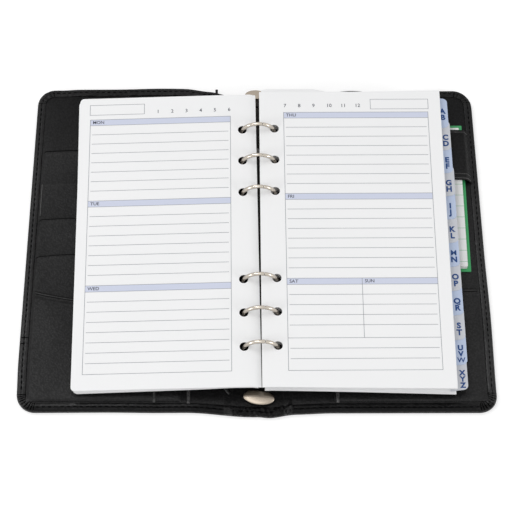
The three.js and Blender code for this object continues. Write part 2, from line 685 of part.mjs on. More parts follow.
function rightPages() {
  const parts = [];
  const outline = pageOutline(0);
  parts.push(part('right_top_leaf', pages(outline, RIGHT_TOP_Z, LEAF), paper));
  const weeklyTop = RIGHT_TOP_Z - LEAF - TURNING_GAP;
  parts.push(part('right_leaves', pages(outline, weeklyTop, RIGHT_STACK), paper));
  const dividerTop = weeklyTop - RIGHT_STACK - LEAF_GAP;
  const count = DIVIDER_LABELS.length;
  const tabPitch = (PAGE_HEIGHT - FIRST_TAB_INSET - TAB_HEIGHT) / (count - 1);
  DIVIDER_LABELS.forEach((label, index) => {
    const low = (count - 1 - index) * tabPitch - PAGE_HEIGHT / 2;
    const shape = pageOutline(0, { low, high: low + TAB_HEIGHT });
    const z = dividerTop - index * DIVIDER_PITCH;
    const colour = index % 2 === 0 ? blueTab : greyTab;
    parts.push(part(`index_leaf_${label}`, pages(shape, z, DIVIDER_SHEET), colour));
  });
  const rearTop = dividerTop - count * DIVIDER_PITCH - LEAF_GAP;
  parts.push(part('rear_leaves', pages(outline, rearTop, REAR_STACK), paper));
  return parts;
}

const covers = new THREE.Group();
covers.add(...coverParts(), ...notepadParts());
covers.position.set(COVER_SHIFT.x, COVER_SHIFT.y, 0);

const organizer = new THREE.Group();
organizer.name = 'personal_organizer';
organizer.add(
  ...spineParts(),
  covers,
  ...mechanismParts(),
  ...ringParts(),
  leftPages(),
  ...rightPages(),
);

export default organizer;
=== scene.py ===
"""Studio scene of a six-ring personal organizer that lies open.

The sizes below are in millimetres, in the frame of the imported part: X runs across both
covers, Y from the foot of the pages to their head, Z up from the table. The origin is
under the middle of the rings.
"""

import json
import logging
import math
from contextlib import contextmanager
from dataclasses import dataclass
from enum import Enum
from typing import Callable, Iterator, Sequence

import bmesh
import bpy
from mathutils import Matrix, Vector

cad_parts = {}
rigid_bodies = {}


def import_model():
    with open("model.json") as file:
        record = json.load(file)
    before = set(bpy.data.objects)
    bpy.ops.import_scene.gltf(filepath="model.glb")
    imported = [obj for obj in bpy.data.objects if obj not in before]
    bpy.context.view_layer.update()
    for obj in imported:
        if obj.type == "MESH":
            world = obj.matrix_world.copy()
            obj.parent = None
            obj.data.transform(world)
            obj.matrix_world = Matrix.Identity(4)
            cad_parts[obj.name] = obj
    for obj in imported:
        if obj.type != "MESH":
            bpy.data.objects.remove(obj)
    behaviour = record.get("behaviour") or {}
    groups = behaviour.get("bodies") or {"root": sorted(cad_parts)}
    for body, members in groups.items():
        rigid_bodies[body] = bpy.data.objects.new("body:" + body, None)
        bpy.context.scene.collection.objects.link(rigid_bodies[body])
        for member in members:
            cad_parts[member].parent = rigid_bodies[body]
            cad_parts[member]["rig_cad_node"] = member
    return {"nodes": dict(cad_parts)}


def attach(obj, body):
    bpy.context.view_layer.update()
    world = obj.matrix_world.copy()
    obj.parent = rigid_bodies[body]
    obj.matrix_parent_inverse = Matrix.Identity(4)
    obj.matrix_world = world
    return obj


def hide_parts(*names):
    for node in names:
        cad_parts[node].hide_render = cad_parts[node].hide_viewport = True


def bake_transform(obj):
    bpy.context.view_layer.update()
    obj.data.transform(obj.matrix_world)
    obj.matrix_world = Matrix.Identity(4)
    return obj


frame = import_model()

LOG = logging.getLogger("organizer")
MM = 0.001
CAPITAL_SHARE = 0.69  # height of a capital, as a share of the letter size
DOUBLES = 1e-6

Point = tuple[float, float, float]
Rect = tuple[float, float, float, float]
Pair = tuple[float, float]
Piece = bpy.types.Object
Socket = bpy.types.NodeSocket
Node = bpy.types.Node
Test = Callable[[Vector, Vector], bool]
Move = Callable[[Vector], Vector]
Surface = Callable[[float, float], Point]


class Pick(Enum):
    """What kind of mesh element a selection is made of."""

    VERTS = "VERT"
    EDGES = "EDGE"
    FACES = "FACE"


class Side(Enum):
    """The two covers, by the body that each rides on."""

    FRONT = "front_cover"
    BACK = "back_cover"

    @property
    def sign(self) -> int:
        """Which way this cover reaches from the spine, along X."""
        return -1 if self is Side.FRONT else 1

    @property
    def prefix(self) -> str:
        """The word that starts the names of this cover's pieces."""
        return "front" if self is Side.FRONT else "back"


# ------------------------------------------------------------------ measures


def mixed(low: float, high: float, share: float) -> float:
    """A value between two others, held to them outside the range."""
    return low + (high - low) * min(max(share, 0.0), 1.0)


def eased(share: float) -> float:
    """A share from 0 to 1 that starts and stops softly."""
    share = min(max(share, 0.0), 1.0)
    return share * share * (3 - 2 * share)


def ramp(value: float, start: float, length: float) -> float:
    """A soft step from 0 to 1 that begins at a start and takes a length."""
    return eased((value - start) / length)


def bump(value: float, middle: float, half: float) -> float:
    """A soft hump that is 1 at its middle and 0 beyond its half width."""
    return eased(1 - abs(value - middle) / half)


def steps(value: float, rows: Sequence[Point], base: float = 0.0) -> float:
    """Adds up soft steps, each given as its height, its start and its length."""
    return sum((height * ramp(value, start, length) for height, start, length in rows), base)


def shares(low: float, high: float, parts: int, used: int = 0) -> list[float]:
    """Even places between two others, without the ends, or only the first of them."""
    return [mixed(low, high, step / parts) for step in range(1, used or parts)]


def scatter(index: int, seed: int = 0) -> float:
    """A fixed irregular number from -1 to 1 for one of many alike pieces."""
    return math.sin(index * 12.9898 + seed * 78.233) * 43758.5453 % 2 - 1


def moved(point: Vector, x: float = 0.0, y: float = 0.0, z: float = 0.0) -> Vector:
    """A place moved along the axes."""
    return Vector((point.x + x, point.y + y, point.z + z))


def lifted(point: Point, z: float) -> Point:
    """A surface point raised."""
    return (point[0], point[1], point[2] + z)


def every(middle: Vector, direction: Vector) -> bool:
    """Passes all elements."""
    return True


def upright(middle: Vector, direction: Vector) -> bool:
    """Passes edges that stand up."""
    return abs(direction.z) > 0.9


def level(middle: Vector, direction: Vector) -> bool:
    """Passes edges that lie flat."""
    return abs(direction.z) < 0.5


def corners(outer: float) -> Test:
    """A test for the standing edges at one outer side."""
    return lambda m, d: abs(d.z) > 0.9 and abs(m.x - outer) < 0.1


# ---------------------------------------------------------------- hand tools


class Bench:
    """Thin helpers over Blender's own modelling operators; every size is in millimetres."""

    @staticmethod
    def clear() -> None:
        """Leaves edit mode and deselects everything."""
        if bpy.context.object and bpy.context.object.mode != "OBJECT":
            bpy.ops.object.mode_set(mode="OBJECT")
        bpy.ops.object.select_all(action="DESELECT")

    @staticmethod
    def named(name: str) -> Piece:
        """Names the object just added and settles its place, turn and scale into its mesh."""
        bpy.ops.object.transform_apply(location=True, rotation=True, scale=True)
        obj = bpy.context.object
        obj.name = obj.data.name = name
        return obj

    @classmethod
    def added(cls, name: str, operator: Callable, **settings: object) -> Piece:
        """Adds a primitive by its operator and names it."""
        cls.clear()
        operator(**settings)
        return cls.named(name)

    @classmethod
    def only(cls, obj: Piece) -> Piece:
        """Selects one object alone and makes it active."""
        cls.clear()
        obj.select_set(True)
        bpy.context.view_layer.objects.active = obj
        return obj

    @classmethod
    def slab(cls, name: str, low: Point, high: Point) -> Piece:
        """Adds a block between its lowest and its highest corner.

        Args:
            name: the piece's name.
            low: its lowest corner.
            high: its highest corner.

        Returns:
            The block.
        """
        centre = [(a + b) / 2 * MM for a, b in zip(low, high)]
        spans = [(b - a) * MM for a, b in zip(low, high)]
        return cls.added(
            name, bpy.ops.mesh.primitive_cube_add, size=1, location=centre, scale=spans
        )

    @classmethod
    @contextmanager
    def editing(cls, obj: Piece) -> Iterator[None]:
        """Edit mode on one object with everything selected, left again at the end.

        Args:
            obj: the object.
        """
        cls.only(obj)
        bpy.ops.object.mode_set(mode="EDIT")
        bpy.ops.mesh.select_all(action="SELECT")
        try:
            yield
        finally:
            bpy.ops.object.mode_set(mode="OBJECT")

    @staticmethod
    def pick(obj: Piece, kind: Pick, test: Test) -> None:
        """Selects the elements whose middle and direction pass a test, in edit mode.

        Args:
            obj: the object in edit mode.
            kind: vertices, edges or faces.
            test: called with the middle in millimetres and the normal, or an edge's direction.
        """
        bpy.ops.mesh.select_mode(type=kind.value)
        bpy.ops.mesh.select_all(action="DESELECT")
        mesh = bmesh.from_edit_mesh(obj.data)
        if kind is Pick.VERTS:
            items = [(v, v.co, v.normal) for v in mesh.verts]
        elif kind is Pick.EDGES:
            ends = [(e, e.verts[0].co, e.verts[1].co) for e in mesh.edges]
            items = [(e, (a + b) / 2, b - a) for e, a, b in ends]
        else:
            items = [(f, f.calc_center_median(), f.normal) for f in mesh.faces]
        for item, middle, direction in items:
            if test(middle / MM, direction.normalized()):
                item.select_set(True)
        mesh.select_flush_mode()
        bmesh.update_edit_mesh(obj.data)

    @classmethod
    def bevel(cls, obj: Piece, test: Test, radius: float, segments: int) -> None:
        """Rounds the edges that pass a test, in edit mode."""
        cls.pick(obj, Pick.EDGES, test)
        bpy.ops.mesh.bevel(offset=radius * MM, segments=segments, profile=0.5, affect="EDGES")

    @classmethod
    def rounded(cls, obj: Piece, test: Test, radius: float, segments: int) -> Piece:
        """Rounds the edges that pass a test."""
        with cls.editing(obj):
            cls.bevel(obj, test, radius, segments)
        return obj

    @staticmethod
    def inset(steps: Sequence[Pair]) -> None:
        """Insets the selected face again and again, each step with its own rise."""
        for width, rise in steps:
            bpy.ops.mesh.inset(thickness=width * MM, depth=rise * MM, use_even_offset=True)

    @staticmethod
    def slice(at: Point, normal: Point, cut: bool = False) -> None:
        """Cuts the whole mesh by a plane, and takes off what lies behind it if asked.

        Args:
            at: a point of the plane.
            normal: the plane's normal.
            cut: whether the side behind it goes.
        """
        bpy.ops.mesh.select_mode(type="FACE")
        bpy.ops.mesh.select_all(action="SELECT")
        bpy.ops.mesh.bisect(
            plane_co=[c * MM for c in at], plane_no=normal, use_fill=cut, clear_inner=cut
        )

    @classmethod
    def slices(cls, obj: Piece, axis: int, places: Sequence[float]) -> None:
        """Adds rows of vertices across a piece, so that it can be bent."""
        with cls.editing(obj):
            for place in places:
                at, normal = [0.0, 0.0, 0.0], [0.0, 0.0, 0.0]
                at[axis], normal[axis] = place, 1.0
                cls.slice(tuple(at), tuple(normal))

    @staticmethod
    def shape(obj: Piece, move: Move) -> Piece:
        """Moves each vertex by hand, with places in millimetres."""
        for vertex in obj.data.vertices:
            vertex.co = move(vertex.co / MM) * MM
        obj.data.update()
        return obj

    @classmethod
    def smooth(cls, obj: Piece, degrees: float = 40) -> Piece:
        """Shades a piece smooth, apart from edges sharper than an angle."""
        cls.only(obj)
        bpy.ops.object.shade_smooth_by_angle(angle=math.radians(degrees))
        return obj

    @classmethod
    def modify(cls, obj: Piece, kind: str, **settings: object) -> Piece:
        """Adds one modifier, sets it and applies it.

        Args:
            obj: the piece.
            kind: the modifier's type.
            settings: its values, by name.

        Returns:
            The piece.
        """
        cls.only(obj)
        bpy.ops.object.modifier_add(type=kind)
        modifier = obj.modifiers[-1]
        for key, value in settings.items():
            setattr(modifier, key, value)
        bpy.ops.object.modifier_apply(modifier=modifier.name)
        return obj

    @classmethod
    def softened(cls, obj: Piece, width: float, segments: int) -> Piece:
        """Rounds all edges sharper than 60 degrees."""
        return cls.modify(
            obj, "BEVEL", width=width * MM, segments=segments, limit_method="ANGLE",
            angle_limit=math.radians(60),
        )

    @classmethod
    def outward(cls, obj: Piece) -> Piece:
        """Merges doubles and turns all faces outwards."""
        with cls.editing(obj):
            bpy.ops.mesh.remove_doubles(threshold=DOUBLES)
            bpy.ops.mesh.normals_make_consistent(inside=False)
        return obj

    @classmethod
    def mirrored(cls, obj: Piece, axis: int) -> Piece:
        """Mirrors a piece along one axis."""
        turn = Vector([-1 if place == axis else 1 for place in range(3)])
        return cls.outward(cls.shape(obj, lambda p: p * turn))

    @classmethod
    def copy(cls, obj: Piece, name: str, move: Point) -> Piece:
        """Copies a piece with its own mesh and moves the copy."""
        cls.only(obj)
        bpy.ops.object.duplicate(linked=False)
        bpy.context.object.location = [c * MM for c in move]
        return cls.named(name)

    @classmethod
    def joined(cls, name: str, pieces: Sequence[Piece]) -> Piece:
        """Joins pieces into one object."""
        cls.only(pieces[0])
        for piece in pieces[1:]:
            piece.select_set(True)
        if len(pieces) > 1:
            bpy.ops.object.join()
        return cls.named(name)

    @classmethod
    def sheet(
        cls, name: str, cells: tuple[int, int], surface: Surface, thickness: float, edge: float
    ) -> Piece:
        """Makes a soft sheet from a grid, a top surface and a thickness.

        Args:
            name: the piece's name.
            cells: how many cells across and along.
            surface: gives the top surface's point for shares from 0 to 1.
            thickness: how thick the sheet is, downwards.
            edge: radius of its edges.

        Returns:
            The sheet.
        """
        obj = cls.added(
            name, bpy.ops.mesh.primitive_grid_add,
            x_subdivisions=cells[0], y_subdivisions=cells[1], size=1,
        )
        for vertex in obj.data.vertices:
            vertex.co = Vector(surface(vertex.co.x + 0.5, vertex.co.y + 0.5)) * MM
        obj.data.update()
        if obj.data.polygons[0].normal.z < 0:
            with cls.editing(obj):
                bpy.ops.mesh.flip_normals()
        cls.modify(obj, "SOLIDIFY", thickness=thickness * MM, offset=-1.0)
        return cls.smooth(cls.softened(obj, edge, 2))

    @classmethod
    def along(cls, obj: Piece, points: Sequence[Point], pitch: float) -> Piece:
        """Repeats a small piece along a path at an even pitch.

        Args:
            obj: the piece, at the origin, lying along X.
            points: the path, in order.
            pitch: distance from one copy to the next.

        Returns:
            The whole row as one object.
        """
        curve = bpy.data.curves.new("guide", "CURVE")
        curve.dimensions = "3D"
        curve.twist_mode = "Z_UP"
        line = curve.splines.new("POLY")
        line.points.add(len(points) - 1)
        for knot, point in zip(line.points, points):
            knot.co = (*[c * MM for c in point], 1)
        guide = bpy.data.objects.new("guide", curve)
        bpy.context.scene.collection.objects.link(guide)
        cls.modify(
            obj, "ARRAY", fit_type="FIT_CURVE", curve=guide, use_relative_offset=False,
            use_constant_offset=True, constant_offset_displace=(pitch * MM, 0, 0),
        )
        cls.modify(obj, "CURVE", object=guide, deform_axis="POS_X")
        bpy.data.objects.remove(guide)
        bpy.data.curves.remove(curve)
        return obj

    @classmethod
    def strips(cls, name: str, rects: Sequence[Rect], z: float) -> Piece:
        """Lays flat rectangles, given as x0, x1, y0 and y1, at one height in one mesh.

        Args:
            name: the piece's name.
            rects: x0, x1, y0 and y1 of each.
            z: their height.

        Returns:
            The flat mesh.
        """
        plane = bpy.ops.mesh.primitive_plane_add
        obj = cls.added(name, plane, size=MM, location=(0, 0, z * MM))
        with cls.editing(obj):
            bpy.ops.mesh.delete(type="VERT")
            for x0, x1, y0, y1 in rects:
                middle = ((x0 + x1) / 2 * MM, (y0 + y1) / 2 * MM, z * MM)
                plane(size=MM, location=middle)
                bpy.ops.transform.resize(value=(x1 - x0, y1 - y0, 1), center_override=middle)
        return obj

    @classmethod
    def words(
        cls, text: str, at: Point, height: float, weight: float, centred: bool = False
    ) -> Piece:
        """Sets a short text as a thin flat mesh.

        Args:
            text: the letters or numbers.
            at: place of the text's left end, or of its middle if centred.
            height: height of the capitals.
            weight: how much the strokes are thickened.
            centred: whether the place is the middle.

        Returns:
            The text's mesh.
        """
        cls.clear()
        bpy.ops.object.text_add(location=[c * MM for c in at])
        data = bpy.context.object.data
        data.body = text
        data.size = height * MM / CAPITAL_SHARE
        data.offset = weight * MM
        data.align_x = "CENTER" if centred else "LEFT"
        data.align_y = "CENTER"
        data.resolution_u = 3
        bpy.ops.object.convert(target="MESH")
        return cls.named("words")


# ----------------------------------------------------------------- finishes


class Graph:
    """Places and joins the nodes of one material or group."""

    def __init__(self, tree: bpy.types.NodeTree) -> None:
        """Starts on an existing node tree."""
        self.tree = tree

    def node(self, kind: str, sockets: dict | None = None, **settings: object) -> Node:
        """Adds a node.

        Args:
            kind: the node's type name.
            sockets: values or outputs for its inputs, by name or place.
            settings: its own properties.

        Returns:
            The node.
        """
        made = self.tree.nodes.new(kind)
        for key, value in settings.items():
            setattr(made, key, value)
        for key, value in (sockets or {}).items():
            if isinstance(value, Socket):
                self.tree.links.new(value, made.inputs[key])
            else:
                made.inputs[key].default_value = value
        return made

    def feed(self, target: Node, sockets: dict) -> None:
        """Joins outputs to inputs of a node, by name or place."""
        for key, value in sockets.items():
            self.tree.links.new(value, target.inputs[key])

    def sum(self, operation: str, first: object, second: object) -> Socket:
        """The output of a math node on two values or outputs."""
        return self.node("ShaderNodeMath", {0: first, 1: second}, operation=operation).outputs[0]

    def blend(self, share: object, first: object, second: object) -> Socket:
        """A colour between two, by a share."""
        made = self.node("ShaderNodeMix", {0: share, 6: first, 7: second}, data_type="RGBA")
        return made.outputs[2]

    def span(
        self, value: object, start: float, end: float, low: float = 0.0, high: float = 1.0
    ) -> Socket:
        """A value of one range mapped onto another and held to it."""
        sockets = {0: value, 1: start, 2: end, 3: low, 4: high}
        return self.node("ShaderNodeMapRange", sockets).outputs[0]

    def spread(self, value: object, low: float, high: float) -> Socket:
        """A value from 0 to 1 mapped onto another range."""
        return self.span(value, 0.0, 1.0, low, high)

    def noise(self, place: Socket, scale: object, detail: float, **more: float) -> Node:
        """A noise texture."""
        sockets = {"Vector": place, "Scale": scale, "Detail": detail, **more}
        return self.node("ShaderNodeTexNoise", sockets)

    def seen(self) -> Socket:
        """A mask of the rays that see a surface: straight, mirrored or through something."""
        rays = self.node("ShaderNodeLightPath").outputs
        seen = self.sum("MAXIMUM", rays["Is Camera Ray"], rays["Is Glossy Ray"])
        return self.sum("MAXIMUM", seen, rays["Is Transmission Ray"])


class Pattern(Enum):
    """The shared surface patterns, each a node group that is built once."""

    GRAIN = "leather_grain"
    FIBRE = "paper_fibre"
    WEAR = "edge_wear"
    BRUSHED = "plating_haze"


class Patterns:
    """Builds the shared node groups when they are first asked for."""

    @classmethod
    def tree(cls, pattern: Pattern) -> bpy.types.NodeTree:
        """The node group of a pattern."""
        found = bpy.data.node_groups.get(pattern.value)
        return found or getattr(cls, pattern.name.lower())()

    @staticmethod
    def start(
        pattern: Pattern, inputs: dict[str, float], outputs: Sequence[str]
    ) -> tuple[Graph, Node, Node]:
        """Opens an empty group with a vector input, named values and named outputs.

        Args:
            pattern: which pattern.
            inputs: its values, by name.
            outputs: names of what it gives.

        Returns:
            The graph, and its input and output nodes.
        """
        tree = bpy.data.node_groups.new(pattern.value, "ShaderNodeTree")
        kind = "NodeSocketFloat"
        tree.interface.new_socket("Vector", in_out="INPUT", socket_type="NodeSocketVector")
        for key, value in inputs.items():
            socket = tree.interface.new_socket(key, in_out="INPUT", socket_type=kind)
            socket.default_value = value
        for key in outputs:
            tree.interface.new_socket(key, in_out="OUTPUT", socket_type=kind)
        graph = Graph(tree)
        return graph, graph.node("NodeGroupInput"), graph.node("NodeGroupOutput")

    @classmethod
    def grain(cls) -> bpy.types.NodeTree:
        """Fine pebbled grain with soft creases and slow variation over the hide."""
        graph, given, out = cls.start(
            Pattern.GRAIN, {"Scale": 900.0, "Crease": 0.4}, ("Height", "Pores", "Cloud")
        )
        place = given.outputs[0]
        warp = graph.noise(place, 260.0, 2.0).outputs["Color"]
        shifted = graph.node(
            "ShaderNodeMix", {0: 0.0025, 4: place, 5: warp}, data_type="VECTOR"
        ).outputs[1]
        cells = graph.node(
            "ShaderNodeTexVoronoi", {"Vector": shifted, "Scale": given.outputs[1]},
            feature="SMOOTH_F1",
        )
        cells.inputs["Smoothness"].default_value = 0.6
        pebble = graph.spread(cells.outputs["Distance"], 1.0, 0.0)
        rough = graph.sum("MULTIPLY", graph.noise(place, 2600.0, 3.0).outputs[0], 0.35)
        creases = graph.noise(place, 55.0, 4.0, Roughness=0.62).outputs[0]
        folds = graph.sum("MULTIPLY", creases, given.outputs[2])
        height = graph.sum("ADD", graph.sum("ADD", pebble, rough), folds)
        cloud = graph.noise(place, 14.0, 3.0).outputs[0]
        graph.feed(out, {0: height, 1: pebble, 2: cloud})
        return graph.tree

    @classmethod
    def marks(cls, pattern: Pattern, fine: float, slow: float) -> bpy.types.NodeTree:
        """Fine marks as a height, and slow clouding.

        Args:
            pattern: which pattern.
            fine: scale of the marks.
            slow: scale of the clouds.

        Returns:
            The node group.
        """
        graph, given, out = cls.start(pattern, {"Scale": fine}, ("Height", "Cloud"))
        place, scale = given.outputs[0], given.outputs[1]
        graph.feed(out, {
            0: graph.noise(place, scale, 4.0).outputs[0],
            1: graph.noise(place, slow, 2.0).outputs[0],
        })
        return graph.tree

    @classmethod
    def fibre(cls) -> bpy.types.NodeTree:
        """Paper fibres and faint clouding."""
        return cls.marks(Pattern.FIBRE, 1500.0, 22.0)

    @classmethod
    def brushed(cls) -> bpy.types.NodeTree:
        """Faint haze and fine marks on plated metal."""
        return cls.marks(Pattern.BRUSHED, 400.0, 90.0)

    @classmethod
    def wear(cls) -> bpy.types.NodeTree:
        """Where edges are rubbed: places next to an edge, broken up by noise."""
        graph, given, out = cls.start(Pattern.WEAR, {"Amount": 1.0}, ("Mask",))
        rounded = graph.node("ShaderNodeBevel", {"Radius": 0.7 * MM}, samples=4)
        surface = graph.node("ShaderNodeNewGeometry")
        turn = graph.node(
            "ShaderNodeVectorMath", {0: rounded.outputs[0], 1: surface.outputs["Normal"]},
            operation="DOT_PRODUCT",
        )
        convex = graph.span(turn.outputs["Value"], 0.995, 0.85)
        broken = graph.span(graph.noise(given.outputs[0], 320.0, 3.0).outputs[0], 0.42, 0.62)
        rubbed = graph.sum("MULTIPLY", convex, broken)
        graph.feed(out, {0: graph.sum("MULTIPLY", rubbed, given.outputs[1])})
        return graph.tree


@dataclass(frozen=True)
class Finish:
    """One finish: a colour with its variation, and how rough it is."""

    name: str
    colour: Point
    other: Point
    rough: Pair
    specular: float

    def material(self) -> bpy.types.Material:
        """The finish's material, built once."""
        found = bpy.data.materials.get(self.name)
        if found:
            return found
        made = bpy.data.materials.new(self.name)
        made.use_nodes = True
        made.diffuse_color = (*self.colour, 1.0)
        graph = Graph(made.node_tree)
        shader = made.node_tree.nodes["Principled BSDF"]
        shader.inputs["Specular IOR Level"].default_value = self.specular
        self.dress(graph, shader, graph.node("ShaderNodeTexCoord").outputs["Object"])
        return made

    def pattern(self, graph: Graph, pattern: Pattern, place: Socket, **values: float) -> Node:
        """Places a shared pattern with this finish's own values."""
        group = graph.node("ShaderNodeGroup", node_tree=Patterns.tree(pattern))
        graph.feed(group, {0: place})
        for key, value in values.items():
            group.inputs[key].default_value = value
        return group

    def bump(
        self, graph: Graph, shader: Node, height: Socket, depth: float, strength: float
    ) -> None:
        """Feeds a height to the shader's normal."""
        sockets = {"Height": height, "Distance": depth * MM, "Strength": strength}
        graph.feed(shader, {"Normal": graph.node("ShaderNodeBump", sockets).outputs[0]})

    def tones(self, graph: Graph, share: Socket) -> Socket:
        """The colour between the finish's two tones."""
        return graph.blend(share, (*self.colour, 1), (*self.other, 1))

    def dress(self, graph: Graph, shader: Node, place: Socket) -> None:
        """Joins the finish's nodes to its shader; each kind of finish has its own.

        Args:
            graph: the material's graph.
            shader: its Principled BSDF.
            place: the coordinates.
        """
        raise NotImplementedError

    def on(self, *pieces: Piece) -> None:
        """Puts the finish on pieces.

        Args:
            pieces: what it is put on.
        """
        for piece in pieces:
            if "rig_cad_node" in piece and piece.material_slots:
                for holder in piece.material_slots:
                    holder.material = self.material()
            else:
                piece.data.materials.clear()
                piece.data.materials.append(self.material())


@dataclass(frozen=True)
class LeatherFinish(Finish):
    """Smooth black hide with a fine grain, soft sheen and rubbed edges."""

    scale: float = 1200.0
    depth: float = 0.12
    crease: float = 0.8
    worn: Point = (0.04, 0.039, 0.039)
    handled: float = 0.6  # share of the lighter tone: a painted sheen that grows along Y from dry to shiny
    dry: float = 95.0
    shiny: float = -60.0
    tail: float = -200.0  # beyond this place along Y, painted shade darkens the colour and the sheen is lower
    tail_width: float = 1.4
    tail_share: float = 0.35
    pore: float = 0.4

    def dress(self, graph: Graph, shader: Node, place: Socket) -> None:
        """Grain into bump and roughness, slow clouds and rubbed edges into colour, with a painted
        sheen that lightens the colour along Y and painted shade at the foot rim.
        """
        grain = self.pattern(graph, Pattern.GRAIN, place, Scale=self.scale, Crease=self.crease)
        wear = self.pattern(graph, Pattern.WEAR, place, Amount=0.7)
        height, pores, cloud = grain.outputs[:3]
        along = graph.node("ShaderNodeSeparateXYZ", {0: place}).outputs[1]
        # painted sheen: a lighter tone that grows along Y; slow mixes it with the random clouds
        handled = graph.span(along, self.dry * MM, self.shiny * MM)
        slow = graph.sum(
            "ADD", graph.sum("MULTIPLY", graph.span(cloud, 0.36, 0.64), 1 - self.handled),
            graph.sum("MULTIPLY", handled, self.handled),
        )
        # painted shade: beyond tail the colour darkens towards the pore tone and the sheen drops
        tail = graph.span(
            along, self.tail * MM, (self.tail - self.tail_width) * MM, 1.0, self.tail_share
        )
        deep = (*(c * self.pore for c in self.colour), 1)
        hide = graph.blend(graph.span(pores, 0.35, 0.8), deep, self.tones(graph, slow))
        rubbed = graph.blend(wear.outputs[0], hide, (*self.worn, 1))
        rough = graph.spread(pores, self.rough[1], self.rough[0])
        sheen = graph.spread(slow, self.specular * 0.6, self.specular * 1.55)
        graph.feed(shader, {
            "Base Color": graph.blend(tail, deep, rubbed),
            "Roughness": graph.sum("ADD", rough, graph.spread(slow, 0.06, -0.06)),
            "Specular IOR Level": graph.sum("MULTIPLY", sheen, tail),
        })
        self.bump(graph, shader, height, self.depth, 0.7)


@dataclass(frozen=True)
class PaperFinish(Finish):
    """Uncoated or coated paper and card, thread and ink."""

    scale: float = 1500.0
    depth: float = 0.012

    def dress(self, graph: Graph, shader: Node, place: Socket) -> None:
        """Clouding into colour and roughness, fibres into bump."""
        fibre = self.pattern(graph, Pattern.FIBRE, place, Scale=self.scale)
        cloud = fibre.outputs[1]
        graph.feed(shader, {
            "Base Color": self.tones(graph, cloud), "Roughness": graph.spread(cloud, *self.rough),
        })
        self.bump(graph, shader, fibre.outputs[0], self.depth, 0.35)


@dataclass(frozen=True)
class RuledFinish(PaperFinish):
    """Paper printed with even rules across."""

    ink: Point = (0.3, 0.55, 0.38)
    pitch: float = 6.6
    start: float = 2.6
    line: float = 0.28

    def dress(self, graph: Graph, shader: Node, place: Socket) -> None:
        """Paper with a thin line at every pitch along Y."""
        super().dress(graph, shader, place)
        tone = shader.inputs["Base Color"].links[0].from_socket
        along = graph.node("ShaderNodeSeparateXYZ", {0: place}).outputs[1]
        lifted = graph.sum("ADD", along, (1000 * self.pitch - self.start) * MM)
        within = graph.sum("MODULO", lifted, self.pitch * MM)
        printed = graph.sum("LESS_THAN", within, self.line * MM)
        graph.feed(shader, {"Base Color": graph.blend(printed, tone, (*self.ink, 1))})


@dataclass(frozen=True)
class MetalFinish(Finish):
    """Plated steel."""

    scale: float = 500.0
    # rim: colour of a painted dark reflection, laid where the surface turns away from the view
    rim: Point = (0.05, 0.042, 0.035)
    rim_from: float = 0.45

    def dress(self, graph: Graph, shader: Node, place: Socket) -> None:
        """Haze into colour and roughness, a painted dark reflection on the rim where the surface
        turns away from the view, fine marks.
        """
        haze = self.pattern(graph, Pattern.BRUSHED, place, Scale=self.scale)
        shader.inputs["Metallic"].default_value = 1.0
        # painted reflection: the colour darkens towards the rim as the surface turns from the view
        facing = graph.node("ShaderNodeLayerWeight", {"Blend": 0.5}).outputs["Facing"]
        painted_rim_shade = graph.span(facing, self.rim_from, 0.95)
        tone = self.tones(graph, haze.outputs[1])
        graph.feed(shader, {
            "Base Color": graph.blend(painted_rim_shade, tone, (*self.rim, 1)),
            "Roughness": graph.spread(haze.outputs[1], *self.rough),
        })
        self.bump(graph, shader, haze.outputs[0], 0.01, 0.12)


# the cover leather's tail puts painted shade along the foot rim
COVER_LEATHER = LeatherFinish(
    "cover_leather", (0.0045, 0.0044, 0.0048), (0.0115, 0.0112, 0.0118), (0.30, 0.54), 0.24,
    scale=800.0, depth=0.24, crease=0.9, worn=(0.045, 0.044, 0.044), tail=-89.0,
)
LINING_LEATHER = LeatherFinish(
    "soft_lining", (0.0045, 0.0044, 0.0048), (0.0120, 0.0117, 0.0122), (0.34, 0.54), 0.16,
    scale=1000.0, depth=0.17, worn=(0.028, 0.027, 0.027),
)
# painted highlight: lighter leather for the pressed mouth edge of each wide pocket, where it
# catches the light
EDGE_HIGHLIGHT_LEATHER = LeatherFinish(
    "painted_highlight_edge", (0.009, 0.009, 0.009), (0.020, 0.020, 0.020), (0.30, 0.45), 0.26
)
# painted highlight: lighter leather that stands for light caught on narrow raised edges
GLINT_LEATHER = LeatherFinish(
    "painted_glint_edge", (0.022, 0.022, 0.022), (0.042, 0.041, 0.041), (0.28, 0.40), 0.40,
    worn=(0.08, 0.078, 0.076),
)
# painted highlight: much lighter leather for the upright welt lines, standing for light caught on
# them
WELT_GLINT_LEATHER = LeatherFinish(
    "painted_glint_welt", (0.065, 0.064, 0.064), (0.105, 0.103, 0.102), (0.28, 0.40), 0.40,
    depth=0.08, worn=(0.12, 0.118, 0.115),
)
# near-black thread, also used for the painted shadow strips at the pocket mouths
THREAD_AND_SHADOW = PaperFinish(
    "thread_and_painted_shadow", (0.0012, 0.0012, 0.0014), (0.003, 0.003, 0.0032), (0.85, 0.95), 0.03,
    depth=0.03,
)
COVER_BOARD = PaperFinish(
    "grey_board", (0.23, 0.19, 0.13), (0.30, 0.25, 0.18), (0.8, 0.95), 0.2
)
PAGE_PAPER = PaperFinish(
    "weekly_paper", (0.835, 0.84, 0.845), (0.87, 0.87, 0.875), (0.62, 0.75), 0.25
)
PAD_PAPER = RuledFinish(
    "ruled_paper", (0.80, 0.81, 0.805), (0.84, 0.845, 0.84), (0.62, 0.75), 0.25
)
PAD_CARD = PaperFinish(
    "green_card", (0.036, 0.29, 0.095), (0.048, 0.34, 0.12), (0.4, 0.5), 0.35
)
BLUE_TAB = PaperFinish("blue_index", (0.46, 0.54, 0.71), (0.50, 0.58, 0.74), (0.35, 0.45), 0.35)
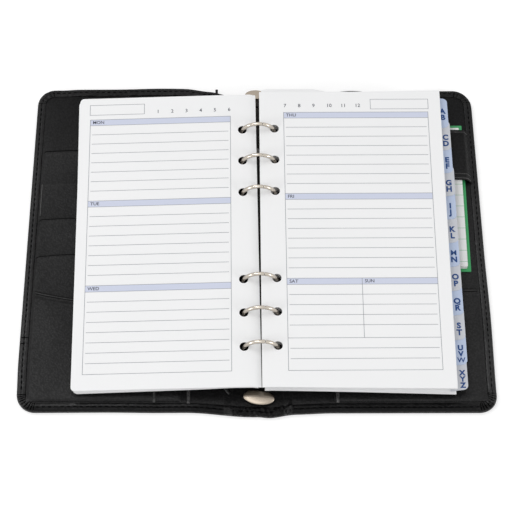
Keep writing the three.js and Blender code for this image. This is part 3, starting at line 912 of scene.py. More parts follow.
GREY_TAB = PaperFinish("grey_index", (0.54, 0.56, 0.60), (0.59, 0.60, 0.64), (0.35, 0.45), 0.35)
NAVY_INK = PaperFinish("navy_ink", (0.018, 0.060, 0.20), (0.025, 0.075, 0.235), (0.5, 0.6), 0.2)
GREY_INK = PaperFinish("grey_ink", (0.26, 0.27, 0.30), (0.31, 0.32, 0.35), (0.6, 0.7), 0.2)
WORD_INK = PaperFinish("word_ink", (0.045, 0.05, 0.07), (0.07, 0.075, 0.10), (0.6, 0.7), 0.2)
BAND_TINT = PaperFinish("band_tint", (0.58, 0.62, 0.75), (0.62, 0.65, 0.77), (0.6, 0.7), 0.2)
NICKEL = MetalFinish(
    "bright_nickel", (0.52, 0.47, 0.41), (0.60, 0.55, 0.48), (0.12, 0.2), 0.5,
    rim=(0.22, 0.19, 0.155), rim_from=0.3,
)
DULL_NICKEL = MetalFinish(
    "lever_nickel", (0.36, 0.31, 0.255), (0.43, 0.37, 0.305), (0.2, 0.28), 0.5,
    rim=(0.16, 0.135, 0.11), rim_from=0.8,
)
CASING = MetalFinish("dark_casing", (0.020, 0.019, 0.018), (0.035, 0.032, 0.03), (0.3, 0.42), 0.5)
STEEL = MetalFinish("plain_steel", (0.16, 0.15, 0.14), (0.2, 0.19, 0.18), (0.3, 0.4), 0.5)


def hang(
    piece: Piece, finish: Finish | None, body: str, node: str = ""
) -> None:
    """Dresses a piece and says what it rides on, which CAD node it replaces.

    Args:
        piece: the piece.
        finish: its finish, if it isn't dressed yet.
        body: the body that it rides on.
        node: the CAD node that it replaces, if any.
    """
    if finish:
        finish.on(piece)
    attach(piece, body)
    if node:
        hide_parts(node)
    LOG.info("%s on %s", piece.name, body)


# ------------------------------------------------------------- leather cover


@dataclass
class Cover:
    """The leather cover: two panels, the spine, the folds, and what is sewn inside them."""

    foot: float = -92.2
    head: float = 96.8
    front_fold: float = -16.7
    back_fold: float = 13.3
    front_edge: float = -120.7
    back_edge: float = 117.3
    fold_half: float = 2.1
    corner: float = 9.5
    rim: float = 0.9
    hem_top: float = 3.4
    board_top: float = 2.2
    board_inset: float = 2.6
    board_heights: Pair = (1.0, 2.15)
    lining_top: float = 3.2
    hem: float = 4.45
    stitch_inset: float = 2.2
    stitch_pitch: float = 3.1
    stitch_size: Point = (1.0, 0.36, 0.26)
    stitch_lift: float = 0.06
    front_flare: float = 0.0252
    back_flare: float = -0.0142
    spread: float = 0.5
    front_tail: Point = (0.5, 65, 20)  # steps: height, start and length; humps: middle and half
    back_belly: float = 0.45
    back_belly_at: Pair = (-42, 40)
    back_corner: Point = (0.6, 98, 12)
    back_corner_from: Pair = (84, 9)
    back_toe: Point = (0.5, 98, 10)
    back_toe_from: Pair = (82, 6)
    back_drop: float = 1.15
    foot_left: tuple[Point, ...] = ((0.42, -80, 30), (2.6, -38, 34))
    foot_right: tuple[Point, ...] = ((0.65, -36, 20), (1.75, -17.5, 14))
    foot_run: float = 0.004
    foot_run_from: float = 36
    foot_zone: Pair = (78, 12)
    halves: Pair = (-2, 6)
    head_drop: float = 0.8
    head_sink: float = 2.2
    head_sink_from: Pair = (-26, 10)
    head_sink_to: Pair = (-97.8, 2.4)
    head_hump: float = 2.6
    head_hump_at: Pair = (51, 24)
    head_rise: Point = (1.8, 24.5, 15)
    head_belly: float = 0.5
    head_belly_at: Pair = (-52, 26)
    head_fall: Point = (0.5, 96, 10)
    head_zone: Pair = (84, 10)
    gathers: Pair = (0.42, 0.25)
    pleats: tuple[int, int] = (9, 5)
    pleat_height: Pair = (1.15, 0.85)
    pucker: float = 0.45
    unevenness: float = 0.07
    welt_depth: float = 12.5
    welt_width: float = 17.5
    welt_turn: float = 56.0
    welt_place: Pair = (-1.4, -76.5)
    welt_wire: float = 0.55
    tacks: Pair = (-51.6, -54.9)
    over: float = 14.0
    hem_steps: tuple[Pair, ...] = (
        (0.55, 0.12), (0.5, 0.03), (0.25, -0.25), (0.25, 0.25), (0.6, 0.05), (0.6, -0.05),
        (0.65, -0.27),
    )
    crease_rows: tuple[float, ...] = (-87.4, -86.8, -85.0, -60.0, 0.0, 60.0, 88.0, 90.0, 91.8)

    def fold(self, side: Side) -> float:
        """Where a cover's fold lies along X."""
        return self.front_fold if side is Side.FRONT else self.back_fold

    def edge(self, side: Side) -> float:
        """Where a cover's outer edge lies along X, at mid height."""
        return self.front_edge if side is Side.FRONT else self.back_edge

    def seam_x(self, side: Side, further: float = 0.0) -> float:
        """Where a panel starts next to its fold, or a little further out."""
        return self.fold(side) + side.sign * (self.fold_half + further)

    @property
    def spine_ends(self) -> Pair:
        """Where the stiff part of the spine ends along X."""
        return self.front_fold + self.fold_half, self.back_fold - self.fold_half

    def flared(self, side: Side, point: Vector) -> Vector:
        """Swings a point out towards the foot as the soft panel does.

        Args:
            side: which cover.
            point: a place on the straight cover.

        Returns:
            The moved place.
        """
        fold, edge = self.fold(side), self.edge(side)
        slope = self.front_flare if side is Side.FRONT else self.back_flare
        share = mixed(0.0, 1.0, (point.x - fold) / (edge - fold))
        middle = (self.foot + self.head) / 2
        out = moved(point, x=slope * (point.y - middle) * share)
        if side is Side.FRONT:
            out.x += (steps(-point.y, (self.front_tail,)) - self.spread) * share
        else:
            out.x += self.back_belly * bump(point.y, *self.back_belly_at) * share
            out.x -= steps(point.x, (self.back_corner,)) * ramp(point.y, *self.back_corner_from)
            out.x += steps(point.x, (self.back_toe,)) * ramp(-point.y, *self.back_toe_from)
        return out

    def drawn(self, point: Vector) -> Vector:
        """Gives the head and foot edges the soft line of the real cover.

        Args:
            point: a place on the straight cover.

        Returns:
            The moved place.
        """
        x = point.x
        left = steps(x, self.foot_left)
        right = steps(-x, self.foot_right, self.back_drop)
        right += self.foot_run * max(x - self.foot_run_from, 0)
        drop = mixed(left, right, ramp(x, *self.halves)) * ramp(-point.y, *self.foot_zone)
        out = moved(point, y=-drop)
        sink = self.head_sink * ramp(x, *self.head_sink_from) * ramp(-x, *self.head_sink_to)
        sink -= self.head_hump * bump(x, *self.head_hump_at)
        rise = steps(-x, (self.head_rise,)) + self.head_belly * bump(x, *self.head_belly_at)
        rise -= steps(-x, (self.head_fall,))
        out.y += (rise - sink - self.head_drop) * ramp(point.y, *self.head_zone)
        return out

    def settled(self, side: Side | None, point: Vector) -> Vector:
        """Takes a point of the straight cover to its place on the soft one."""
        return self.drawn(self.flared(side, point) if side else point)

    def soft(self, side: Side | None, obj: Piece) -> Piece:
        """Takes a piece of the straight cover to its place on the soft one."""
        return Bench.shape(obj, lambda p: self.settled(side, p))

    def gathered(self, point: Vector) -> Vector:
        """Puckers the leather along the foot of the spine.

        Args:
            point: a place on the straight cover.

        Returns:
            The moved place.
        """
        if point.z <= self.board_top + 0.4:
            return point
        window = ramp(-point.y, 86.0, 2.5) * eased((19 - abs(point.x)) / 6)
        wave = math.sin(point.x * 1.9 + 1.6 * math.sin(point.x * 0.7 + point.y))
        return moved(
            point, y=self.gathers[1] * window * math.sin(point.x * 1.3 + 0.6),
            z=self.gathers[0] * window * wave,
        )

    def pleated(self, side: Side, point: Vector) -> Vector:
        """Gathers the hem into small radial pleats round the two outer corners.

        Args:
            side: which cover.
            point: a place on the straight cover.

        Returns:
            The moved place.
        """
        centre_x = self.edge(side) - side.sign * self.corner
        out = point.copy()
        for end, (centre_y, up) in enumerate(
            ((self.foot + self.corner, -1), (self.head - self.corner, 1))
        ):
            across = (point.x - centre_x) * side.sign
            along = (point.y - centre_y) * up
            if point.z < self.board_top or across < -1.5 or along < -1.5:
                continue
            radius = math.hypot(across, along)
            turn = math.atan2(along, across) / (math.pi / 2)
            phase = math.pi * self.pleats[end] * turn + 0.9 * math.sin(7 * turn + centre_y)
            lobe = abs(math.sin(phase + 0.25 * radius)) ** 0.6
            window = ramp(radius, 3.6, 1.2) * ramp(point.z, self.board_top, 1.0)
            window *= ramp(turn, -0.1, 0.12) * ramp(-turn, -1.1, 0.12)
            window *= eased((self.corner + 0.1 - radius) / 0.9)
            out.z += window * self.pleat_height[end] * (lobe - 0.65)
        return out

    def puckered(self, side: Side, point: Vector) -> Vector:
        """Raises small soft puckers on the inner half of the hem, most of them at its foot.

        Args:
            side: which cover.
            point: a place on the straight cover.

        Returns:
            The moved place.
        """
        if point.z < self.lining_top + 0.05:
            return point
        outer = abs(point.x - self.edge(side))
        end = min(point.y - self.foot, self.head - point.y)
        along = point.x if end < outer else point.y
        inner = ramp(min(outer, end), 2.2, 0.8)
        clear = ramp(max(outer, end), self.corner, 3)
        lump = max(math.sin(along * 1.15 + 2.2 * math.sin(along * 0.31)), 0.0) ** 1.5
        near = 1.0 if abs(point.y) > 85 else 0.4
        return moved(point, z=self.pucker * lump * inner * clear * near)

    def waved(self, point: Vector) -> Vector:
        """Gives the rim the slight unevenness of hand-turned leather."""
        if point.z <= self.lining_top:
            return point
        wave = math.sin(point.y * 0.31) * math.sin(point.x * 0.23 + 1.0)
        return moved(point, z=self.unevenness * wave)

    def hide(
        self, name: str, ends: Sequence[float], floor: float, outer: float | None = None
    ) -> Piece:
        """Builds a stretch of the hemmed leather, too long where it is cut.

        Args:
            name: the piece's name.
            ends: its two ends along X.
            floor: height of the middle, inside the hems.
            outer: the end with rounded corners, if it has one.

        Returns:
            The block with rounded rims, a puffed hem and a stitching groove.
        """
        low, high = sorted(ends)
        obj = Bench.slab(name, (low, self.foot, 0), (high, self.head, self.hem_top))
        if outer is not None:
            Bench.rounded(obj, corners(outer), self.corner, 64)
        middle = self.hem_top / 2
        Bench.rounded(obj, lambda m, d: level(m, d) and abs(m.z - middle) > 1.0, self.rim, 4)
        rise = self.hem_top + sum(step[1] for step in self.hem_steps)
        with Bench.editing(obj):
            Bench.pick(obj, Pick.FACES, lambda m, n: n.z > 0.99)
            Bench.inset((*self.hem_steps, (0.1, floor - rise)))
        return obj

    def panel(self, side: Side) -> Piece:
        """One stiff panel of the cover with its two rounded, pleated corners.

        Args:
            side: which cover.

        Returns:
            The panel's leather.
        """
        seam, outer = self.seam_x(side), self.edge(side)
        ends = (seam - side.sign * self.over, outer)
        obj = self.hide(f"{side.prefix}_leather", ends, self.board_top, outer)
        with Bench.editing(obj):
            Bench.slice((seam, 0, 0), (side.sign, 0, 0), cut=True)
        Bench.slices(obj, 1, shares(self.foot, self.head, 72))
        Bench.slices(obj, 0, shares(seam, outer, 58, 56))

        def worked(p: Vector) -> Vector:
            return self.settled(side, self.waved(self.puckered(side, self.pleated(side, p))))

        return Bench.smooth(Bench.shape(obj, worked), 50)

    def strip(
        self, name: str, side: Side | None, ends: Pair, floor: float, rows: int,
        across: Sequence[float] = (),
    ) -> Piece:
        """A hemmed strip between two cuts, with rows of vertices to bend it by.

        Args:
            name: the piece's name.
            side: which cover, or none for the spine.
            ends: the two cuts along X.
            floor: height of the middle.
            rows: how many cells lie between the cuts.
            across: further rows along Y.

        Returns:
            The strip.
        """
        low, high = ends
        obj = self.hide(name, (low - self.over, high + self.over), floor)
        with Bench.editing(obj):
            Bench.slice((low, 0, 0), (1, 0, 0), cut=True)
            Bench.slice((high, 0, 0), (-1, 0, 0), cut=True)
        Bench.slices(obj, 0, shares(low, high, rows))
        Bench.slices(obj, 1, across)
        return Bench.shape(obj, lambda p: self.settled(side, self.waved(self.gathered(p))))

    def spine(self) -> Piece:
        """The leather of the spine, between the two folds."""
        strip = self.strip("spine_leather", None, self.spine_ends, self.board_top, 52)
        return Bench.smooth(strip, 50)

    def crease(self, side: Side) -> Piece:
        """The strip of leather that lies over a fold."""
        fold = self.fold(side)
        ends = (fold - self.fold_half, fold + self.fold_half)
        name = f"{side.prefix}_fold"
        strip = self.strip(name, side, ends, self.lining_top, 14, self.crease_rows)
        return Bench.smooth(strip, 35)

    def spine_board(self) -> Piece:
        """The stiff board inside the spine, short of the drawn-in head."""
        bottom, top = self.board_heights
        obj = Bench.slab(
            "spine_stiffener", (self.front_fold + 6.1, self.foot + self.board_inset, bottom),
            (self.back_fold - 6.1, self.head - 6.0, top),
        )
        return Bench.smooth(Bench.rounded(obj, every, 0.15, 1))

    def board(self, side: Side) -> Piece:
        """The stiff board inside a panel.

        Args:
            side: which cover.

        Returns:
            The board.
        """
        bottom, top = self.board_heights
        seam = self.seam_x(side, 2.2)
        outer = self.edge(side) - side.sign * self.board_inset
        low, high = sorted((seam, outer))
        obj = Bench.slab(
            f"{side.prefix}_stiffener", (low, self.foot + self.board_inset, bottom),
            (high, self.head - self.board_inset, top),
        )
        Bench.rounded(obj, corners(outer), 7.5, 8)
        Bench.rounded(obj, level, 0.15, 1)
        Bench.slices(obj, 0, shares(seam, outer, 10))
        return Bench.smooth(self.soft(side, obj))

    def lining(self, side: Side | None) -> Piece:
        """The inner leather of a panel, or of the spine where no side is given.

        Args:
            side: which cover, or none for the spine.

        Returns:
            The lining.
        """
        if side:
            seam, outer = self.seam_x(side), self.edge(side) - side.sign * self.hem
        else:
            seam, outer = self.spine_ends
        low, high = sorted((seam, outer))
        obj = Bench.slab(
            f"{side.prefix if side else 'spine'}_inner",
            (low, self.foot + self.hem, self.board_top),
            (high, self.head - self.hem, self.lining_top),
        )
        if side:
            top = self.lining_top - 0.1
            Bench.rounded(obj, corners(outer), self.corner - self.hem, 8)
            Bench.rounded(
                obj, lambda m, d: level(m, d) and m.z > top and abs(m.x - seam) > 0.1, 0.25, 2
            )
        Bench.slices(obj, 0, shares(seam, outer, 14 if side else 12))
        Bench.slices(obj, 1, (-84, -80, -40, 0, 40, 80, 86) if side else (-84, -80, 86))
        return Bench.smooth(self.soft(side, obj))

    def stitch(self, name: str) -> Piece:
        """One stitch of waxed thread, lying along X."""
        obj = Bench.added(
            name, bpy.ops.mesh.primitive_uv_sphere_add, segments=8, ring_count=5, radius=MM,
            rotation=(0, math.pi / 2, 0),
        )
        size = self.stitch_size
        Bench.shape(obj, lambda p: Vector([c * s for c, s in zip(p, size)]))
        return Bench.smooth(obj, 80)

    def stitched(self, name: str, points: Sequence[Point]) -> Piece:
        """A row of stitches along a path."""
        return Bench.along(self.stitch(name), points, self.stitch_pitch)

    def seam(self, side: Side) -> Piece:
        """The row of stitches round the three outer sides of a panel.

        Args:
            side: which cover.

        Returns:
            The row as one object.
        """
        start = self.seam_x(side, 1.0)
        outer = self.edge(side) - side.sign * self.stitch_inset
        foot, head = self.foot + self.stitch_inset, self.head - self.stitch_inset
        radius = self.corner - self.stitch_inset
        z = self.hem_top + self.stitch_lift
        points: list[Point] = [(start, head, z)]
        for centre_y, first in ((head - radius, 90.0), (foot + radius, 0.0)):
            for step in range(9):
                turn = math.radians(first - step * 90 / 8)
                x = outer - side.sign * radius * (1 - math.cos(turn))
                points.append((x, centre_y + radius * math.sin(turn), z))
        points.append((start, foot, z))
        row = self.stitched(f"{side.prefix}_stitches", points)
        if side is Side.FRONT:
            row = Bench.joined(row.name, [row, *(self.tack(y) for y in self.tacks)])
        return self.soft(side, row)

    def tack(self, y: float) -> Piece:
        """A longer stitch across the hem, where two rows of stitching meet."""
        middle = self.edge(Side.FRONT) + self.hem / 2 + 0.2
        top = self.hem_top + 0.05
        return Bench.shape(
            self.stitch("tack"), lambda p: Vector((p.x * 2.0 + middle, p.y + y, p.z + top))
        )

    def spine_seams(self) -> Piece:
        """The stitches across the head and the foot of the spine."""
        low, high = self.spine_ends[0] + 1.0, self.spine_ends[1] - 1.0
        z, inset = self.hem_top + self.stitch_lift, self.stitch_inset
        rows = [
            self.stitched(f"{name}_row", [(low, y, z), (high, y, z)])
            for name, y in (("head", self.head - inset), ("foot", self.foot + inset))
        ]
        return self.soft(None, Bench.joined("spine_stitches", rows))

    def welt(self) -> Piece:
        """The curved edge of the leather that is let in round the foot lever."""
        turn = math.radians(self.welt_turn)
        obj = Bench.added(
            "lever_welt", bpy.ops.mesh.primitive_circle_add, vertices=10,
            radius=self.welt_wire * MM, location=(0, -self.welt_depth * MM, 0),
            rotation=(0, math.pi / 2, 0),
        )
        with Bench.editing(obj):
            bpy.ops.transform.rotate(value=turn, orient_axis="Z", center_override=(0, 0, 0))
            bpy.ops.mesh.spin(steps=32, angle=2 * turn, center=(0, 0, 0), axis=(0, 0, 1))
        x, y = self.welt_place
        wide, deep, base = self.welt_width, self.welt_depth, self.lining_top
        Bench.shape(
            Bench.outward(obj), lambda p: Vector((p.x * wide / deep + x, p.y + y, p.z * 0.8 + base))
        )
        return Bench.smooth(obj, 80)

    def seam_tab(self) -> Piece:
        """The tiny end of leather that stands out at the head of the front cover."""
        obj = Bench.slab("head_seam_tab", (-22.9, 91.6, 2.3), (-21.5, 97.1, 3.75))
        return Bench.smooth(Bench.rounded(obj, every, 0.3, 2))

    def build(self) -> None:
        """Builds the cover, dresses it and hangs each piece on its body, apart from the two fold
        strips, which stay on no body.
        """
        hang(self.spine(), COVER_LEATHER, "spine", "spine_skin")
        hang(self.lining(None), LINING_LEATHER, "spine", "spine_lining")
        hang(self.spine_seams(), THREAD_AND_SHADOW, "spine")
        # the lever welt's lighter leather is a painted highlight
        hang(self.welt(), GLINT_LEATHER, "spine")
        hang(self.spine_board(), COVER_BOARD, "spine", "spine_board")
        for side in Side:
            body, node = side.value, side.prefix
            hang(self.panel(side), COVER_LEATHER, body, f"{node}_skin")
            hang(self.lining(side), LINING_LEATHER, body, f"{node}_lining")
            hang(self.board(side), COVER_BOARD, body, f"{node}_board")
            hang(self.seam(side), THREAD_AND_SHADOW, body)
            crease = self.crease(side)
            LINING_LEATHER.on(crease)
            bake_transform(crease)
            LOG.info("%s between spine and %s", crease.name, body)
        hang(self.seam_tab(), COVER_LEATHER, "front_cover")


@dataclass
class Pockets:
    """The card pockets and the lower pockets sewn onto the linings."""

    cover: Cover
    base: float = 3.2
    sheet: float = 0.8
    card_left: float = -115.9
    card_right: float = -55.0
    first_lip: float = 58.7
    pitch: float = 20.9
    count: int = 4
    overlap: float = 2.0
    last_tail: float = 6.0
    lower_mouth: float = -25.7
    lower_foot: float = -87.3
    front_inner: float = -39.7
    back_inner: float = 36.3
    back_outer: float = 112.5
    welted: tuple[float, ...] = (-53.0,)
    mouth_seam: float = 0.96
    mouth_sag: Pair = (25.0, 1.6)
    swells: Pair = (1.5, 0.6)
    pocket_corner: float = 4.6
    # widths of the painted shadow strips behind the card pocket mouths, none where the width is 0
    gap_widths: tuple[float, ...] = (0.55, 0.0, 0.42, 0.36)
    lip_slant: tuple[float, ...] = (0.6, 0.0, 1.6, 3.0)
    lip_shift: tuple[float, ...] = (1.8, 0.0, 1.4, 2.3)
    welts: tuple[Pair, ...] = ((-53.0, 0.5), (-36.2, 0.6), (38.0, 0.6))
    welt_ends: Pair = (-88.3, -62.0)
    ramp: float = 1.4
    roll: float = 14.0

    def inner(self, side: Side) -> float:
        """The inner edge of a wide pocket along X."""
        return self.front_inner if side is Side.FRONT else self.back_inner

    def surface(self, index: int, u: float, v: float) -> Point:
        """A point of a card pocket's top, its mouth standing up a little.

        Args:
            index: which pocket, counted from the head.
            u: place from its outer to its inner end, from 0 to 1.
            v: place from its tail to its lip, from 0 to 1.

        Returns:
            The point on the straight cover.
        """
        lip = self.first_lip - index * self.pitch
        last = index == self.count - 1
        tail = self.lower_mouth - self.last_tail if last else lip - self.pitch - self.overlap
        left, right = self.card_left, self.card_right
        x, y = left + (right - left) * u, tail + (lip - tail) * v
        side = min(x - left, right - x)
        rise = eased((y - (lip - self.pitch)) / self.pitch)
        low = self.base + self.sheet + 0.35 * rise
        high = self.base + 0.6 + self.sheet + 1.1 * rise
        round_off = 1.4 * eased(1 - side / 2.0) * ramp(v, 0.9, 0.1)
        round_off += self.lip_shift[index] * ramp(v, 0.6, 0.4)
        round_off -= self.lip_slant[index] * u * ramp(v, 0.6, 0.4)
        belly = 0.12 * math.sin(math.pi * u) * rise
        swell = 0.5 * eased(side / self.ramp) + 0.5 * eased(side / self.roll)
        curl = 0.35 * ramp(v, 0.86, 0.14)
        return (x, y - round_off, low + (high - low) * swell + belly + curl)

    def lie(self, side: Side, u: float, share: float) -> Point:
        """A point of the wide pocket's top.

        Args:
            side: the cover that it is sewn to.
            u: place from its inner to its outer end, from 0 to 1.
            share: place from its foot to its mouth, from 0 to 1.

        Returns:
            The point on the straight cover.
        """
        front = side is Side.FRONT
        inner = self.inner(side)
        outer = self.card_left if front else self.back_outer
        x = inner + (outer - inner) * u
        mouth = self.lower_mouth - self.mouth_sag[0 if front else 1] * u * (1 - u)
        y = self.lower_foot + (mouth - self.lower_foot) * share
        rest, bend = y - self.lower_foot, self.pocket_corner
        room = min(abs(x - inner), abs(x - outer), rest)
        if rest < bend:
            corner = bend - math.hypot(max(bend - abs(x - outer), 0), max(bend - rest, 0))
            room = min(room, max(corner, 0.0))
        swell = 0.6 * eased(room / self.ramp) + 0.4 * eased(room / self.roll)
        z = self.base + self.sheet + self.swells[0 if front else 1] * swell
        z -= 0.3 if share == self.mouth_seam else 0.0
        for seam in self.welted if front else ():
            z += 0.5 * eased(1 - abs(abs(x - seam) - 0.9) / 0.8) * ramp(-share, -0.7, 0.2)
        return (x, y, z + 0.25 * math.sin(math.pi * u) * share)

    def card(self, index: int) -> Piece:
        """The leather of one card pocket, counted from the head."""
        name = f"card_pocket_{index + 1}"
        obj = Bench.sheet(
            name, (60, 24), lambda u, v: self.surface(index, u, v), self.sheet, 0.25
        )
        return self.cover.soft(Side.FRONT, obj)

    def gaps(self, side: Side) -> Piece:
        """Painted shadow: dark strips laid behind the pocket mouths of a cover, where the openings
        lie in shade, and a dark line along the pressed seam.

        Args:
            side: which cover.

        Returns:
            All ribbons as one object.
        """

        def ribbon(
            count: int, at: Callable[[float, float], Point], width: float, lift: float
        ) -> Piece:
            def place(u: float, v: float) -> Point:
                x, y, z = at(0.012 + 0.976 * u, v)
                return (x, y - 0.1 + width * v if width else y, z + lift)

            return Bench.sheet("ribbon", (count, 2), place, 0.3, 0.05)

        strips = [
            ribbon(90, lambda u, v: self.lie(side, u, 1.0), 0.3, 0.06),
            ribbon(90, lambda u, v: self.lie(side, u, 0.977 + 0.006 * v), 0.0, 0.05),
        ]
        if side is Side.FRONT:
            strips += [
                ribbon(60, lambda u, v, index=index: self.surface(index, u, 1.0), width, 0.04)
                for index, width in enumerate(self.gap_widths) if width
            ]
        return self.cover.soft(side, Bench.joined(f"{side.prefix}_pocket_painted_shadows", strips))

    def welt_lines(self, side: Side) -> Piece:
        """The pressed upright edges where a wide pocket is sewn down.

        Args:
            side: which cover.

        Returns:
            The edges as one object.
        """

        def line(at: float, wide: float) -> Piece:
            rise = 1.9 if abs(at) > abs(self.inner(side)) else 0.35

            def top(u: float, v: float) -> Point:
                z = self.base + rise + 0.5 * math.sin(math.pi * v)
                return (at + 2.8 * wide * (v - 0.5), mixed(*self.welt_ends, u), z)

            return Bench.sheet("welt_line", (12, 4), top, 0.5, 0.1)

        lines = [line(*welt) for welt in self.welts if welt[0] * side.sign > 0]
        return self.cover.soft(side, Bench.joined(f"{side.prefix}_welt_lines", lines))

    def side_edge(self) -> Piece:
        """The turned edge that stands up at the outer end of the second card pocket."""

        def place(u: float, v: float) -> Point:
            return lifted(self.surface(1, 0.012 + 0.008 * v, mixed(0.16, 0.99, u)), 0.3)

        obj = Bench.sheet("card_pocket_side", (40, 2), place, 0.5, 0.1)
        return self.cover.soft(Side.FRONT, obj)

    def lower(self, side: Side) -> Piece:
        """The wide pocket at the foot of a cover, with a turned and stitched mouth.

        Args:
            side: which cover.

        Returns:
            The pocket.
        """
        rows = (
            0.0, 0.02, 0.05, 0.1, 0.35, 0.55, 0.75, 0.78, 0.80, 0.83, 0.93, 0.95,
            self.mouth_seam, 0.965, 0.975, 1.0,
        )

        def top(u: float, v: float) -> Point:
            return self.lie(side, u, rows[int(round(v * (len(rows) - 1)))])

        obj = Bench.sheet(f"{side.prefix}_pocket", (150, len(rows) - 1), top, self.sheet, 0.25)
        return self.cover.soft(side, obj)

    def mouth(self, side: Side) -> Piece:
        """The pressed edge along the mouth of a wide pocket."""

        def top(u: float, v: float) -> Point:
            return lifted(self.lie(side, 0.02 + 0.96 * u, 0.985 + 0.009 * v), 0.1)

        obj = Bench.sheet(f"{side.prefix}_pocket_edge", (90, 2), top, 0.4, 0.1)
        return self.cover.soft(side, obj)

    def build(self) -> None:
        """Builds all pockets and hangs them on their covers."""
        for index in range(self.count):
            node = f"front_card_pocket_{index + 1}"
            hang(self.card(index), LINING_LEATHER, "front_cover", node)
        for side in Side:
            body, node = side.value, f"{side.prefix}_lower_pocket"
            hang(self.lower(side), LINING_LEATHER, body, node)
            # the mouth edge takes the painted highlight leather
            hang(self.mouth(side), EDGE_HIGHLIGHT_LEATHER, body)
            # painted shadow strips along the pocket mouths
            hang(self.gaps(side), THREAD_AND_SHADOW, body)
            # the welt lines take the painted highlight leather
            hang(self.welt_lines(side), WELT_GLINT_LEATHER, body)
        # the card pocket's side edge in lighter leather is a painted highlight
        hang(self.side_edge(), GLINT_LEATHER, "front_cover")


# ----------------------------------------------------------------- notepad


@dataclass
class Notepad:
    """The small pad with a green card back, and the leather band that holds it."""

    cover: Cover
    left: float = 43.8
    right: float = 109.8
    foot: float = -15.3
    head: float = 73.3
    base: float = 3.2
    card: float = 0.6
    block: float = 2.2
    leaves: int = 9
    stray: float = 0.12
    border: float = 1.9
    head_border: float = 2.8
    band_foot: float = 38.2
    band_head: float = 68.8
    band_left: float = 39.8
    band_right: float = 114.2
    band_ramp: float = 3.6
    band_rows: tuple[float, ...] = (0.0, 0.03, 0.06, 0.12, 0.3, 0.5, 0.7, 0.88, 0.94, 0.97, 1.0)
    seams: tuple[Pair, ...] = ((0.03, 0.018), (0.11, 0.014), (0.95, 0.02))

    def card_back(self) -> Piece:
        """The green card under and round the sheets."""
        obj = Bench.slab(
            "pad_back", (self.left, self.foot, self.base + 0.04),
            (self.right, self.head, self.base + self.card),
        )
        Bench.rounded(obj, upright, 0.4, 3)
        return Bench.smooth(Bench.rounded(obj, level, 0.12, 2))

    def sheets(self) -> Piece:
        """The block of ruled sheets, each a hair out of line."""
        leaves, step = [], self.block / self.leaves
        for index in range(self.leaves):
            low = self.base + self.card + index * step
            dx, dy = self.stray * scatter(index, 1), self.stray * scatter(index, 2)
            near = (self.left + self.border + dx, self.foot + self.border + dy, low)
            head = self.head - self.head_border + dy
            far = (self.right - self.border + dx, head, low + step * 0.86)
            leaves.append(Bench.slab(f"pad_sheet_{index}", near, far))
        return Bench.smooth(Bench.rounded(Bench.joined("pad_block", leaves), upright, 0.5, 2))

    def lie(self, u: float, share: float) -> Point:
        """A point of the band's top, for shares of its length and of its height.

        Args:
            u: share of its length.
            share: share of its height.

        Returns:
            The point on the straight cover.
        """
        top = self.base + self.card + self.block + 1.1
        low = self.base + 0.8
        x = self.band_left + (self.band_right - self.band_left) * u
        y = self.band_foot + (self.band_head - self.band_foot) * share
        rise = eased((x - self.band_left) / self.band_ramp)
        rise *= eased((self.band_right - x) / self.band_ramp)
        crown = 0.25 * math.sin(math.pi * share)
        sag = 0.4 * ramp(u, 0.85, 0.15) * (0.4 + ramp(-share, -0.2, 0.2))
        return (x, y - sag, low + (top - low) * rise + crown * rise)

    def band(self) -> Piece:
        """The leather band across the pad, its long edges turned under."""
        rows, last = self.band_rows, len(self.band_rows) - 1
        obj = Bench.sheet(
            "notepad_band", (96, last), lambda u, v: self.lie(u, rows[int(round(v * last))]),
            0.8, 0.25,
        )
        return self.cover.soft(Side.BACK, obj)

    def band_seams(self) -> Piece:
        """The pressed seams along the band: two at its foot and one at its head."""

        def ribbon(share: float, width: float) -> Piece:
            def top(u: float, v: float) -> Point:
                return lifted(self.lie(0.01 + 0.98 * u, share + width * (v - 0.5)), 0.14)

            return Bench.sheet("seam", (96, 2), top, 0.4, 0.1)

        lines = [ribbon(*seam) for seam in self.seams]
        return self.cover.soft(Side.BACK, Bench.joined("band_seams", lines))

    def build(self) -> None:
        """Builds the pad and its band."""
        hang(self.card_back(), PAD_CARD, "notepad", "pad_card")
        hang(self.sheets(), PAD_PAPER, "notepad", "pad_sheets")
        hang(self.band(), LINING_LEATHER, "back_cover", "pad_band")
        # the band seams in lighter leather are a painted highlight
        hang(self.band_seams(), GLINT_LEATHER, "back_cover")


# --------------------------------------------------------------- mechanism

RING_PLACES = (63.5, 44.5, 25.5, -25.5, -44.5, -63.5)  # along Y, from the head


